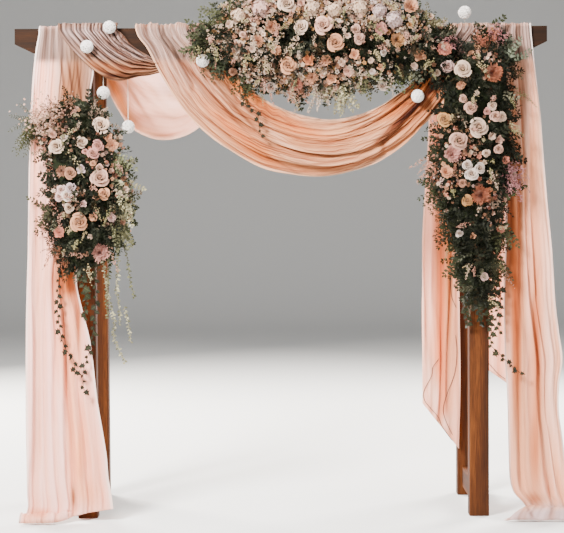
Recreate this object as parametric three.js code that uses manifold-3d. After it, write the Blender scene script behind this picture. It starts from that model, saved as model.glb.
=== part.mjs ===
// A wedding canopy: four timber posts joined by two tailed beams and four short rails, hung with
// gathered chiffon, dressed with three flower garlands and with small balls of wound thread.
// Millimetres, +Z up, +X to the right of someone who faces the canopy, +Y away from them.
// Pieces are set out from the ground in the middle of the four posts. Last, the whole canopy is moved
// so that the origin is on the ground under the middle of its outline.
import * as THREE from "three";
import { mergeVertices } from "three/addons/utils/BufferGeometryUtils.js";
import Module from "manifold-3d";

const wasm = await Module();
wasm.setup();

// Driving dimensions of the timber frame
const HEIGHT = 2250;
const POST = 90;
const POST_CHAMFER = 5;
const POST_SPACING_X = 1810;
const POST_SPACING_Y = 580;
const BEAM_LENGTH = 2420;
const BEAM_THICK = 45;
const BEAM_DEEP = 145;
const TAIL_END = 70;
const TAIL_CUT = 154;
const RAIL_THICK = 45;
const RAIL_DEEP = 95;
const FOOT_RAIL_LIFT = 45;
const SEAT = 0.3;

// Planes that the cloth and flowers are set against
const POST_X = POST_SPACING_X / 2;
const POST_Y = POST_SPACING_Y / 2;
const POST_FACE = POST_Y + POST / 2;
const BEAM_FACE = POST_FACE + BEAM_THICK;
const CLOTH = 8;
const TUCK = 14;
const INNER_LAYER = -(BEAM_FACE + SEAT + TUCK / 2);
const OUTER_LAYER = INNER_LAYER - TUCK - 12;
const CLOTH_RISE = 12;
const FLOWER_BACK = -(BEAM_FACE + 46);
const LEG_MIDDLE = -(BEAM_FACE + 18);
const LEG_FOLD = 20;
const LEG_FRONT = LEG_MIDDLE - LEG_FOLD - CLOTH / 2 - 1;

const TIMBER = { color: 0x7a4a26, roughness: 0.75, metalness: 0 };
const CHIFFON = { color: 0xe9b79c, roughness: 0.85, metalness: 0 };
const BACK_CHIFFON = { color: 0xf3d6c8, roughness: 0.85, metalness: 0 };
const BLOOMS = { color: 0xdcb8a4, roughness: 0.8, metalness: 0 };
const GREENS = { color: 0x39442e, roughness: 0.8, metalness: 0 };
const THREAD = { color: 0xf2ece4, roughness: 0.7, metalness: 0 };

const canopy = new THREE.Group();

function piece(name, geometry, finish) {
  const mesh = new THREE.Mesh(geometry, new THREE.MeshStandardMaterial(finish));
  mesh.name = name;
  canopy.add(mesh);
  return mesh;
}

// Booleans: a closed geometry to a solid and back

function solidFrom(geometry) {
  const bare = geometry.clone();
  bare.deleteAttribute("normal");
  bare.deleteAttribute("uv");
  const merged = mergeVertices(bare, 1e-3);
  return new wasm.Manifold(
    new wasm.Mesh({
      numProp: 3,
      vertProperties: new Float32Array(merged.attributes.position.array),
      triVerts: new Uint32Array(merged.index.array),
    }),
  );
}

function geometryFrom(solid) {
  const mesh = solid.getMesh();
  return new THREE.BufferGeometry()
    .setAttribute("position", new THREE.BufferAttribute(new Float32Array(mesh.vertProperties), 3))
    .setIndex(new THREE.BufferAttribute(new Uint32Array(mesh.triVerts), 1));
}

function boxBetween([x0, y0, z0], [x1, y1, z1]) {
  return new THREE.BoxGeometry(x1 - x0, y1 - y0, z1 - z0).translate(
    (x0 + x1) / 2,
    (y0 + y1) / 2,
    (z0 + z1) / 2,
  );
}

// Timber

function postGeometry() {
  const half = POST / 2;
  const near = half - POST_CHAMFER;
  const outline = new THREE.Shape([
    new THREE.Vector2(-near, -half),
    new THREE.Vector2(near, -half),
    new THREE.Vector2(half, -near),
    new THREE.Vector2(half, near),
    new THREE.Vector2(near, half),
    new THREE.Vector2(-near, half),
    new THREE.Vector2(-half, near),
    new THREE.Vector2(-half, -near),
  ]);
  return new THREE.ExtrudeGeometry(outline, { depth: HEIGHT, bevelEnabled: false });
}

function addPosts() {
  for (const [depth, sideY] of [["front", -1], ["rear", 1]]) {
    for (const [hand, sideX] of [["left", -1], ["right", 1]]) {
      const post = piece(`${depth}_${hand}_post`, postGeometry(), TIMBER);
      post.position.set(sideX * POST_X, sideY * POST_Y, 0);
    }
  }
}

// The beam's side view: square tops, and tails whose lower corner is sawn off at a slant
function beamGeometry() {
  const end = BEAM_LENGTH / 2;
  const outline = new THREE.Shape([
    new THREE.Vector2(-end, 0),
    new THREE.Vector2(-end, -TAIL_END),
    new THREE.Vector2(-end + TAIL_CUT, -BEAM_DEEP),
    new THREE.Vector2(end - TAIL_CUT, -BEAM_DEEP),
    new THREE.Vector2(end, -TAIL_END),
    new THREE.Vector2(end, 0),
  ]);
  const beam = new THREE.ExtrudeGeometry(outline, { depth: BEAM_THICK, bevelEnabled: false });
  return beam.rotateX(Math.PI / 2);
}

function addBeams() {
  piece("front_beam", beamGeometry(), TIMBER).position.set(0, -POST_FACE, HEIGHT);
  piece("rear_beam", beamGeometry(), TIMBER).position.set(0, POST_FACE + BEAM_THICK, HEIGHT);
}

function addRails() {
  const reach = POST_Y - POST / 2;
  for (const [hand, side] of [["left", -1], ["right", 1]]) {
    const low = [side * POST_X - RAIL_THICK / 2, -reach, FOOT_RAIL_LIFT];
    const high = [side * POST_X + RAIL_THICK / 2, reach, FOOT_RAIL_LIFT + RAIL_DEEP];
    piece(`${hand}_foot_rail`, boxBetween(low, high), TIMBER);
    low[2] = HEIGHT - RAIL_DEEP;
    high[2] = HEIGHT;
    piece(`${hand}_top_rail`, boxBetween(low, high), TIMBER);
  }
}

// Cloth

const smooth = (t) => t * t * (3 - 2 * t);
const between = (a, b, t) => a + (b - a) * t;
const ramp = (t, from, to) => smooth(Math.min(1, Math.max(0, (t - from) / (to - from))));

function curveThrough(points) {
  return new THREE.CatmullRomCurve3(points.map((p) => new THREE.Vector3(...p)), false, "centripetal");
}

// A closed sheet between a front and a back surface, each a function of column and row
function closedSheet(columns, rows, front, back) {
  const wide = columns + 1;
  const count = wide * (rows + 1);
  const points = [];
  for (const face of [front, back]) {
    for (let j = 0; j <= rows; j++) {
      for (let i = 0; i <= columns; i++) points.push(...face(i / columns, j / rows));
    }
  }
  const faces = [];
  const quad = (a, b, c, d) => faces.push(a, b, c, a, c, d);
  for (let j = 0; j < rows; j++) {
    for (let i = 0; i < columns; i++) {
      const a = j * wide + i;
      quad(a, a + wide, a + wide + 1, a + 1);
      quad(count + a, count + a + 1, count + a + wide + 1, count + a + wide);
    }
  }
  for (let i = 0; i < columns; i++) {
    const last = rows * wide + i;
    quad(i, i + 1, count + i + 1, count + i);
    quad(last + 1, last, count + last, count + last + 1);
  }
  for (let j = 0; j < rows; j++) {
    const a = j * wide;
    const b = a + columns;
    quad(a + wide, a, count + a, count + a + wide);
    quad(b, b + wide, count + b + wide, count + b);
  }
  return new THREE.BufferGeometry()
    .setAttribute("position", new THREE.BufferAttribute(new Float32Array(points), 3))
    .setIndex(faces);
}

// Pleated cloth stretched between two edge curves: each fold is one wave across the cloth,
// and `swell` gives the folds' depth along it
function pleatedSheet({ first, second, folds, perFold, rows, swell }) {
  const a = curveThrough(first);
  const b = curveThrough(second);
  const middle = (u, v) => {
    const p = a.getPoint(v).lerp(b.getPoint(v), u);
    p.y += swell(v) * Math.cos(2 * Math.PI * folds * u);
    return p;
  };
  const face = (side) => (u, v) => {
    const p = middle(u, v);
    return [p.x, p.y + (side * CLOTH) / 2, p.z];
  };
  return closedSheet(folds * perFold, rows, face(-1), face(1));
}

const CLOTH_TOP = HEIGHT + CLOTH_RISE;

// Each leg falls from the front beam's tail to the ground: [x of outer edge, x of inner edge, y, z]
const LEFT_HEM = LEG_MIDDLE - 4;
const RIGHT_HEM = LEG_MIDDLE;
const LEFT_LEG = [
  [-1100, -880, INNER_LAYER, CLOTH_TOP],
  [-1118, -862, INNER_LAYER - 3, 2100],
  [-1140, -866, LEG_MIDDLE, 1900],
  [-1156, -892, LEG_MIDDLE, 1560],
  [-1165, -920, LEG_MIDDLE, 1240],
  [-1170, -936, LEG_MIDDLE, 1040],
  [-1176, -890, LEG_MIDDLE - 1, 800],
  [-1178, -856, LEG_MIDDLE - 2, 540],
  [-1180, -818, LEG_MIDDLE - 3, 280],
  [-1186, -800, LEFT_HEM, 0],
];
const RIGHT_LEG = [
  [977, 1135, INNER_LAYER, CLOTH_TOP],
  [990, 1150, INNER_LAYER - 2, 2100],
  [1003, 1176, LEG_MIDDLE, 1860],
  [1012, 1200, LEG_MIDDLE, 1520],
  [1010, 1236, LEG_MIDDLE, 1180],
  [1012, 1268, LEG_MIDDLE, 800],
  [1024, 1290, LEG_MIDDLE, 480],
  [1028, 1306, LEG_MIDDLE, 220],
  [1010, 1320, RIGHT_HEM, 0],
];
const LEFT_HEM_SPREAD = 16;
const RIGHT_FOLD = 16;
const RIGHT_HEM_SPREAD = 22;

function addLegs() {
  const edge = (stations, column) => stations.map((s) => [s[column], s[2], s[3]]);
  const left = pleatedSheet({
    first: edge(LEFT_LEG, 0),
    second: edge(LEFT_LEG, 1),
    folds: 5,
    perFold: 4,
    rows: 10,
    swell: (v) => between(3, LEG_FOLD, ramp(v, 0.13, 0.3)) + LEFT_HEM_SPREAD * ramp(v, 0.55, 1),
  });
  piece("left_leg_drape", left, CHIFFON);
  const right = pleatedSheet({
    first: edge(RIGHT_LEG, 0),
    second: edge(RIGHT_LEG, 1),
    folds: 4,
    perFold: 4,
    rows: 10,
    swell: (v) => between(3, RIGHT_FOLD, ramp(v, 0.14, 0.3)) + RIGHT_HEM_SPREAD * ramp(v, 0.5, 1),
  });
  piece("right_leg_drape", right, CHIFFON);
}

// Cloth that the legs leave heaped on the ground in front of them
const HEM_HEAP_HIGH = 30;
const LEFT_HEAP = {
  x: [-1205, -1000],
  front: -492,
  back: LEFT_HEM - LEG_FOLD - LEFT_HEM_SPREAD - CLOTH / 2 - SEAT,
};
const RIGHT_HEAP = {
  x: [985, 1345],
  front: -500,
  back: RIGHT_HEM - RIGHT_FOLD - RIGHT_HEM_SPREAD - CLOTH / 2 - SEAT,
};

function heapGeometry({ x, front, back }) {
  const columns = 12;
  const rows = 4;
  const place = (u, v) => {
    const lobe = 0.5 + 0.5 * Math.cos(2 * Math.PI * 3 * u);
    const reach = between(back, front, 0.55 + 0.45 * lobe);
    return [between(x[0], x[1], u), between(back, reach, v)];
  };
  const high = (u, v) => HEM_HEAP_HIGH * (0.25 + 0.75 * Math.sin(Math.PI * u)) * (1 - 0.8 * v * v);
  const top = (u, v) => [...place(u, v), high(u, v)];
  const ground = (u, v) => [...place(u, v), 0];
  return closedSheet(columns, rows, top, ground);
}

function addHeaps() {
  piece("left_hem_heap", heapGeometry(LEFT_HEAP), CHIFFON);
  piece("right_hem_heap", heapGeometry(RIGHT_HEAP), CHIFFON);
}

// Swags: lower edge and upper edge, from the left end to the right end, as [x, z]
const CORNER_SWAG_LOW = [
  [-1010, CLOTH_TOP],
  [-985, 2205],
  [-925, 2130],
  [-860, 2073],
  [-790, 2032],
  [-725, 2022],
  [-655, 2036],
  [-590, 2045],
  [-530, 2068],
  [-480, 2130],
  [-455, CLOTH_TOP],
];
const CORNER_SWAG_HIGH = [
  [-735, CLOTH_TOP],
  [-718, 2228],
  [-700, 2203],
  [-678, 2180],
  [-655, 2161],
  [-625, 2140],
  [-592, 2122],
  [-552, 2112],
  [-500, 2124],
  [-435, 2185],
  [-375, CLOTH_TOP],
];
const MAIN_SWAG_LOW = [
  [-658, CLOTH_TOP],
  [-605, 2147],
  [-525, 2003],
  [-436, 1885],
  [-346, 1794],
  [-233, 1707],
  [-89, 1625],
  [38, 1588],
  [174, 1574],
  [287, 1590],
  [410, 1642],
  [537, 1722],
  [628, 1803],
  [710, 1890],
  [790, 1985],
  [880, 2110],
  [977, CLOTH_TOP],
];
const MAIN_SWAG_HIGH = [
  [-300, CLOTH_TOP],
  [-264, 2190],
  [-235, 2130],
  [-200, 2065],
  [-155, 2005],
  [-105, 1955],
  [-50, 1915],
  [20, 1880],
  [100, 1852],
  [220, 1832],
  [350, 1852],
  [450, 1893],
  [535, 1950],
  [600, 2020],
  [655, 2090],
  [710, 2165],
  [764, CLOTH_TOP],
];

function addSwags() {
  const corner = pleatedSheet({
    first: CORNER_SWAG_LOW.map(([x, z], k) => [x, between(OUTER_LAYER, INNER_LAYER - 1, ramp(k, 4, 7)), z]),
    second: CORNER_SWAG_HIGH.map(([x, z], k) => [x, between(OUTER_LAYER, INNER_LAYER - 1, ramp(k, 4, 7)), z]),
    folds: 4,
    perFold: 4,
    rows: 14,
    swell: (v) => 3 + 7 * Math.sin(Math.PI * Math.min(1, v / 0.55)) ** 2,
  });
  piece("left_corner_swag", corner, CHIFFON);
  const last = MAIN_SWAG_LOW.length - 1;
  const depth = (k) => between(OUTER_LAYER, INNER_LAYER - 4, ramp(k, last - 5, last));
  const main = pleatedSheet({
    first: MAIN_SWAG_LOW.map(([x, z], k) => [x, depth(k), z]),
    second: MAIN_SWAG_HIGH.map(([x, z], k) => [x, depth(k), z]),
    folds: 5,
    perFold: 4,
    rows: 24,
    swell: (v) => 3 + 26 * Math.sin(Math.PI * v) ** 3,
  });
  piece("main_swag", main, CHIFFON);
}

// Cloth on the rear beam's inner face, [x, z] along the hem, from the left to the right
const REAR_INNER_LAYER = POST_FACE - SEAT - TUCK / 2;
const REAR_TOP = HEIGHT - 1;
const REAR_SWAG_HEM = [
  [-856, REAR_TOP],
  [-852, 2080],
  [-800, 1950],
  [-735, 1838],
  [-655, 1776],
  [-562, 1758],
  [-470, 1780],
  [-395, 1845],
  [-330, 1950],
  [-280, 2080],
  [-270, REAR_TOP],
];

function addRearSwag() {
  const last = REAR_SWAG_HEM.length - 1;
  const span = [REAR_SWAG_HEM[0][0], REAR_SWAG_HEM[last][0]];
  const sheet = pleatedSheet({
    first: REAR_SWAG_HEM.map(([x, z]) => [x, REAR_INNER_LAYER, Math.min(z, REAR_TOP - 20)]),
    second: REAR_SWAG_HEM.map((_, k) => [between(...span, k / last), REAR_INNER_LAYER, REAR_TOP]),
    folds: 3,
    perFold: 4,
    rows: 14,
    swell: (v) => 3 * Math.sin(Math.PI * v),
  });
  piece("rear_left_swag", sheet, BACK_CHIFFON);
}

// Loose panels that hang in the rear: [x of left edge, x of right edge, y, z left, z right]
const REAR_DRAPE = [
  [745, 848, REAR_INNER_LAYER, REAR_TOP, REAR_TOP],
  [738, 848, REAR_INNER_LAYER - 6, 2080, 2080],
  [722, 848, 290, 1800, 1800],
  [706, 850, 225, 1500, 1500],
  [692, 868, 208, 1180, 1180],
  [688, 872, 208, 860, 860],
  [694, 868, 208, 640, 560],
  [700, 862, 208, 480, 260],
];
const REAR_OUTER_DRAPE = [
  [965, 1100, REAR_INNER_LAYER, REAR_TOP, REAR_TOP],
  [962, 1104, REAR_INNER_LAYER - 2, 1800, 1800],
  [958, 1108, REAR_INNER_LAYER - 10, 1200, 1200],
  [956, 1112, REAR_INNER_LAYER - 10, 820, 760],
  [956, 1114, REAR_INNER_LAYER - 10, 660, 560],
];

function addRearPanels() {
  for (const [name, stations] of [
    ["rear_right_drape", REAR_DRAPE],
    ["rear_right_outer_drape", REAR_OUTER_DRAPE],
  ]) {
    const sheet = pleatedSheet({
      first: stations.map((s) => [s[0], s[2], s[3]]),
      second: stations.map((s) => [s[1], s[2], s[4]]),
      folds: 3,
      perFold: 4,
      rows: 8,
      swell: (v) => 3 + 15 * ramp(v, 0.1, 0.5),
    });
    piece(name, sheet, BACK_CHIFFON);
  }
}

// Runs of cloth across the top of both beams, each with a tail behind: [x from, x to, tail's foot]
const ROOF_RUNS = {
  left: [-1100, -880, 1420],
  middle: [-655, -300, 2010],
  right: [985, 1132, 1300],
};
const ROOF_THICK = CLOTH_RISE - SEAT;
const ROOF_SAG = 26;

function addRoofRuns() {
  const fromY = -BEAM_FACE;
  const toY = BEAM_FACE;
  for (const [name, [x0, x1, foot]] of Object.entries(ROOF_RUNS)) {
    const span = (v) => Math.min(1, Math.max(0, (v - 0.1) / 0.8));
    const sag = (v) => ROOF_SAG * Math.sin(Math.PI * span(v)) ** 2;
    const free = Math.abs(x0 + x1) / 2 < POST_X - POST ? 1 : 0;
    const face = (lift) => (u, v) => [
      between(x0, x1, u),
      between(fromY, toY, v),
      HEIGHT + SEAT + lift - free * sag(v) + 1.5 * lift * Math.cos(2 * Math.PI * 4 * u) / ROOF_THICK,
    ];
    piece(`${name}_roof_run`, closedSheet(16, 8, face(0), face(ROOF_THICK)), CHIFFON);
    const back = -INNER_LAYER;
    const tail = pleatedSheet({
      first: [[x0, back, CLOTH_TOP], [x0 + 6, back + 3, 2100], [x0 - 4, back + 16, foot + 40]],
      second: [[x1, back, CLOTH_TOP], [x1 - 6, back + 3, 2100], [x1 + 4, back + 16, foot]],
      folds: 3,
      perFold: 4,
      rows: 5,
      swell: (v) => 3 + 14 * ramp(v, 0.5, 0.9),
    });
    piece(`${name}_rear_tail`, tail, CHIFFON);
  }
}

// Flowers: a garland's mass is a loft of half-ovals with a flat back, swollen by its large blooms

// Stations run along the garland: [along, centre across, half width, depth]
function garlandMass(stations, back, upright) {
  const arc = 8;
  const ring = stations.map(([along, centre, half, depth]) => {
    const row = [];
    for (let k = 0; k <= arc; k++) {
      const angle = (Math.PI * k) / arc;
      const across = centre + half * Math.cos(angle);
      const y = back - depth * Math.sin(angle);
      row.push(upright ? [across, y, along] : [along, y, across]);
    }
    return row;
  });
  const points = ring.flat(2);
  const wide = arc + 1;
  const faces = [];
  const quad = (a, b, c, d) => faces.push(a, b, c, a, c, d);
  for (let j = 0; j < ring.length - 1; j++) {
    for (let k = 0; k < wide; k++) {
      const next = (k + 1) % wide;
      quad(j * wide + k, j * wide + next, (j + 1) * wide + next, (j + 1) * wide + k);
    }
  }
  const cap = (first, turn) => {
    for (let k = 1; k < arc; k++) {
      if (turn) faces.push(first, first + k + 1, first + k);
      else faces.push(first, first + k, first + k + 1);
    }
  };
  cap(0, true);
  cap((ring.length - 1) * wide, false);
  const mass = new THREE.BufferGeometry()
    .setAttribute("position", new THREE.BufferAttribute(new Float32Array(points), 3))
    .setIndex(faces);
  const solid = solidFrom(mass);
  return solid.volume() > 0 ? solid : solidFrom(turned(mass));
}

function turned(geometry) {
  const index = geometry.index.array;
  const back = [];
  for (let i = 0; i < index.length; i += 3) back.push(index[i], index[i + 2], index[i + 1]);
  return geometry.setIndex(back);
}

// A bloom is a ball that stands half out of the mass: [x, z, radius, how far in front of the back]
function withBlooms(mass, blooms, back) {
  let solid = mass;
  for (const [x, z, radius, out] of blooms) {
    const ball = new THREE.IcosahedronGeometry(radius, 1).translate(x, back - out, z);
    solid = solid.add(solidFrom(ball));
  }
  return solid;
}

const TOP_MASS = [
  [-408, 2156, 18, 25],
  [-345, 2178, 42, 50],
  [-300, 2185, 80, 70],
  [-250, 2205, 142, 95],
  [-150, 2187, 205, 120],
  [0, 2185, 228, 135],
  [150, 2178, 245, 140],
  [300, 2182, 240, 140],
  [450, 2200, 208, 132],
  [600, 2215, 178, 115],
  [690, 2180, 160, 90],
  [722, 2160, 120, 60],
];
const TOP_BLOOMS = [
  [-245, 2295, 46, 60],
  [-105, 2335, 52, 75],
  [20, 2360, 54, 75],
  [190, 2235, 48, 130],
  [235, 2160, 42, 135],
  [25, 2055, 42, 110],
  [-20, 2240, 44, 120],
  [60, 1985, 44, 60],
  [215, 1990, 44, 80],
  [340, 2190, 42, 130],
  [455, 2330, 50, 85],
  [515, 2260, 50, 110],
  [520, 2150, 46, 120],
  [600, 2330, 42, 60],
  [610, 2110, 40, 90],
  [690, 2105, 38, 55],
];
const LEFT_MASS = [
  [1165, -925, 28, 30],
  [1220, -895, 92, 70],
  [1310, -877, 178, 100],
  [1470, -855, 211, 120],
  [1650, -880, 203, 120],
  [1790, -905, 208, 105],
  [1865, -945, 150, 75],
  [1925, -925, 45, 35],
];
const LEFT_BLOOMS = [
  [-806, 1815, 44, 95],
  [-1000, 1715, 44, 90],
  [-772, 1765, 36, 95],
  [-830, 1690, 34, 115],
  [-940, 1612, 42, 112],
  [-812, 1560, 46, 115],
  [-955, 1490, 40, 110],
  [-785, 1500, 36, 105],
  [-912, 1385, 42, 105],
  [-828, 1240, 44, 75],
];
const RIGHT_MASS = [
  [1185, 875, 70, 60],
  [1290, 862, 135, 90],
  [1420, 850, 185, 112],
  [1600, 868, 206, 122],
  [1775, 873, 198, 122],
  [1940, 890, 182, 115],
  [2080, 900, 160, 100],
  [2190, 903, 88, 65],
  [2250, 920, 28, 30],
];
const RIGHT_BLOOMS = [
  [807, 2045, 46, 95],
  [943, 2033, 50, 100],
  [838, 1870, 42, 115],
  [965, 1855, 44, 105],
  [877, 1786, 50, 120],
  [732, 1825, 40, 80],
  [787, 1728, 48, 110],
  [752, 1655, 44, 90],
  [850, 1585, 48, 120],
  [885, 1490, 50, 110],
  [745, 1590, 42, 85],
  [965, 1580, 38, 95],
];

// Foliage that trails below the side garlands, lofted like their mass
const LEFT_TRAIL = [
  [700, -760, 20, 18],
  [860, -785, 45, 34],
  [1000, -830, 62, 44],
  [1165 - SEAT, -905, 70, 52],
];
const RIGHT_TRAIL = [
  [880, 900, 50, 26],
  [960, 905, 62, 36],
  [1060, 900, 72, 46],
  [1170, 885, 78, 54],
];
const RIGHT_TRAIL_BACK = -(POST_FACE + SEAT);

const FOAM_TOP = { x: [-190, 650], z: [2118, 2238] };
const FOAM_RIGHT = { x: [POST_X - 40, POST_X + 40], z: [1182, 1880] };

function addFlowers() {
  const foamTop = boxBetween(
    [FOAM_TOP.x[0], FLOWER_BACK + SEAT, FOAM_TOP.z[0]],
    [FOAM_TOP.x[1], -BEAM_FACE - SEAT, FOAM_TOP.z[1]],
  );
  piece("top_flower_base", foamTop, GREENS);
  const foamRight = boxBetween(
    [FOAM_RIGHT.x[0], FLOWER_BACK + SEAT, FOAM_RIGHT.z[0]],
    [FOAM_RIGHT.x[1], -POST_FACE - SEAT, FOAM_RIGHT.z[1]],
  );
  piece("right_flower_base", foamRight, GREENS);
  const top = withBlooms(garlandMass(TOP_MASS, FLOWER_BACK, false), TOP_BLOOMS, FLOWER_BACK);
  piece("top_flowers", geometryFrom(trimmed(top, FLOWER_BACK)), BLOOMS);
  const left = withBlooms(garlandMass(LEFT_MASS, LEG_FRONT, true), LEFT_BLOOMS, LEG_FRONT);
  piece("left_flowers", geometryFrom(trimmed(left, LEG_FRONT)), BLOOMS);
  const right = withBlooms(garlandMass(RIGHT_MASS, FLOWER_BACK, true), RIGHT_BLOOMS, FLOWER_BACK);
  piece("right_flowers", geometryFrom(trimmed(right, FLOWER_BACK)), BLOOMS);
  const leftTrail = garlandMass(LEFT_TRAIL, LEG_FRONT - 3, true);
  piece("left_trailing_greens", geometryFrom(leftTrail), GREENS);
  const rightTrail = garlandMass(RIGHT_TRAIL, RIGHT_TRAIL_BACK, true);
  piece("right_trailing_greens", geometryFrom(rightTrail), GREENS);
}

// Takes away whatever lies behind the garland's flat back
function trimmed(solid, back) {
  const far = 3000;
  return solid.subtract(solidFrom(boxBetween([-far, back, -far], [far, far, 2 * far])));
}

// Balls of wound thread, each hung, pinned to the cloth behind it or set on a short wire:
// those hung and on a wire are [x, y, z, length of thread or wire], those pinned [x, z, cloth]
const BALL_RADIUS = 34;
const THREAD_RADIUS = 1;
const HUNG_BALLS = [
  [-812, -355, 1962, HEIGHT - BEAM_DEEP - 1962],
  [-700, -355, 1806, HEIGHT - BEAM_DEEP - 1806],
];
const WIRED_BALLS = [[838, -358, 2312, HEIGHT - 2312]];
const PINNED_BALLS = [
  [-773, 2250, "left_corner_swag"],
  [-874, 2162, "left_corner_swag"],
  [-352, 2094, "main_swag"],
  [614, 1930, "main_swag"],
];

function ballSolid() {
  return solidFrom(new THREE.SphereGeometry(BALL_RADIUS, 12, 8).rotateX(Math.PI / 2));
}

// The y at which a ball, brought back from in front, comes to rest on the cloth behind it
function restingY(ball, x, z, cloth) {
  const behind = solidFrom(canopy.getObjectByName(cloth).geometry);
  let clear = FLOWER_BACK - 3 * BALL_RADIUS;
  let reached = INNER_LAYER;
  while (reached - clear > SEAT / 10) {
    const y = (clear + reached) / 2;
    if (ball.translate([x, y, z]).minGap(behind, 2 * BALL_RADIUS) > SEAT) clear = y;
    else reached = y;
  }
  return clear;
}

function addBalls() {
  let count = 0;
  const place = (solid, x, y, z) => {
    count += 1;
    piece(`thread_ball_${count}`, geometryFrom(solid), THREAD).position.set(x, y, z);
  };
  for (const [x, z, cloth] of PINNED_BALLS) {
    const ball = ballSolid();
    place(ball, x, restingY(ball, x, z, cloth), z);
  }
  for (const [x, y, z, length] of [...HUNG_BALLS, ...WIRED_BALLS]) {
    const reach = Math.abs(length) - SEAT;
    const line = new THREE.CylinderGeometry(THREAD_RADIUS, THREAD_RADIUS, reach, 6)
      .rotateX(Math.PI / 2)
      .translate(0, 0, (Math.sign(length) * reach) / 2);
    place(ballSolid().add(solidFrom(line)), x, y, z);
  }
}

addPosts();
addBeams();
addRails();
addLegs();
addHeaps();
addSwags();
addRearSwag();
addRearPanels();
addRoofRuns();
addFlowers();
addBalls();

const outline = new THREE.Box3().setFromObject(canopy, true);
canopy.position.x = -(outline.min.x + outline.max.x) / 2;
canopy.position.y = -(outline.min.y + outline.max.y) / 2;

export default canopy;
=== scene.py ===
"""The dressed wedding canopy: a timber frame, chiffon drapes, silk-flower garlands and thread balls.

Sizes are in metres, and whole numbers in a table are millimetres. Colours are screen colours in
percent. Places are set out from the middle of the four posts, on the ground, and `make_piece` moves
them into the frame's own coordinates. X runs to the right along the front beam, Y to the rear and Z up.
"""

import logging
import math
from dataclasses import dataclass, field
from enum import Enum

import bmesh
import bpy
import numpy as np
from mathutils import Matrix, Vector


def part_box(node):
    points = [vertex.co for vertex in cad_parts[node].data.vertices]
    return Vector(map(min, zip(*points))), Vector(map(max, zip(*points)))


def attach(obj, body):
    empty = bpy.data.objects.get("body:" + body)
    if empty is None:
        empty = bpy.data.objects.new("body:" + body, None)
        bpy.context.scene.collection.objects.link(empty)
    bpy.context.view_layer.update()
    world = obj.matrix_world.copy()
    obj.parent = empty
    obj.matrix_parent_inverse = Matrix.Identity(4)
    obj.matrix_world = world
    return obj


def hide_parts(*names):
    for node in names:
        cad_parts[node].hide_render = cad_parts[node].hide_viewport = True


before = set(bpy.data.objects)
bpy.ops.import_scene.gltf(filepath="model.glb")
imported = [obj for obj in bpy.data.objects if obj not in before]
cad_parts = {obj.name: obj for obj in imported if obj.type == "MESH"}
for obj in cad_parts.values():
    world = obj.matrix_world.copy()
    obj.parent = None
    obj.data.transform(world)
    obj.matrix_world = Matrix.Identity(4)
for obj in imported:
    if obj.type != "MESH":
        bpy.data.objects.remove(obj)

Array = np.ndarray
Row = tuple[float, ...]
Colour = tuple[float, float, float]
Material = bpy.types.Material

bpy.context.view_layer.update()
MIDDLE = (np.array(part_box("front_left_post")[0]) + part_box("rear_right_post")[1]) / 2 * (1, 1, 0)
TURN = 2 * math.pi
GOLDEN_ANGLE = 2.39996

# The front beam: its two heights, half its length, how far its face and its middle stand in front of
# the middle of the posts, and how far the front posts' faces do.
BEAM_TOP = 2.25
BEAM_UNDERSIDE = 2.105
BEAM_REACH = 1.21
BEAM_FACE = 0.380
BEAM_MIDDLE = 0.3575
POST_FACE = 0.335

# How far in front of the middle a cloth's rear part ends and its front part begins.
FRONT_PART = (0.30, 0.34)

logging.basicConfig(level=logging.INFO, format="%(message)s")
log = logging.getLogger("canopy")


# ---------------------------------------------------------------- colours, smooth fields, curves


def linear(colour: Colour | Array) -> Array:
    """Linear light of a screen colour in percent: a power of 2.4 above a short straight part."""
    c = np.asarray(colour, float) / 100
    return np.where(c <= 0.04045, c / 12.92, ((c + 0.055) / 1.055) ** 2.4)


def rgba(colour: Colour) -> Row:
    """The colour as a socket takes it."""
    return (*linear(colour), 1.0)


def smooth_step(value: Array, low: float, high: float) -> Array:
    """Goes from 0 at low to 1 at high along t * t * (3 - 2 t)."""
    t = np.clip((value - low) / (high - low), 0, 1)
    return t * t * (3 - 2 * t)


def blend(first: Array, second: Array, share: Array) -> Array:
    """Mixes two colours, or two arrays of them, by an array of shares."""
    return first + (second - first) * share[..., None]


def ripple(u: Array, v: Array, seed: int, across: float = 3, along: float = 3, terms: int = 7) -> Array:
    """A smooth random field: the sum of cosines in random directions, about -1 to 1.

    Args:
        u, v: places across and along the cloth, of one shape.
        seed: which field.
        across, along: most waves over u and v from 0 to 1.
        terms: number of cosines.

    Returns:
        The field's value at each place.
    """
    draw = np.random.default_rng(seed)
    total, weight = np.zeros(np.broadcast(u, v).shape), 0.0
    for _ in range(terms):
        size = draw.uniform(0.5, 1)
        waves = draw.uniform(-across, across) * u + draw.uniform(-along, along) * v
        total += size * np.cos(TURN * (waves + draw.uniform()))
        weight += size
    return total / (0.55 * weight)


def run(points: Array, axis: int = 0) -> Array:
    """The distance walked from the first point along one axis of a path or a grid of points."""
    steps = np.linalg.norm(np.diff(points, axis=axis), axis=-1)
    return np.concatenate([np.zeros_like(steps.take([0], axis)), np.cumsum(steps, axis)], axis)


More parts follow.
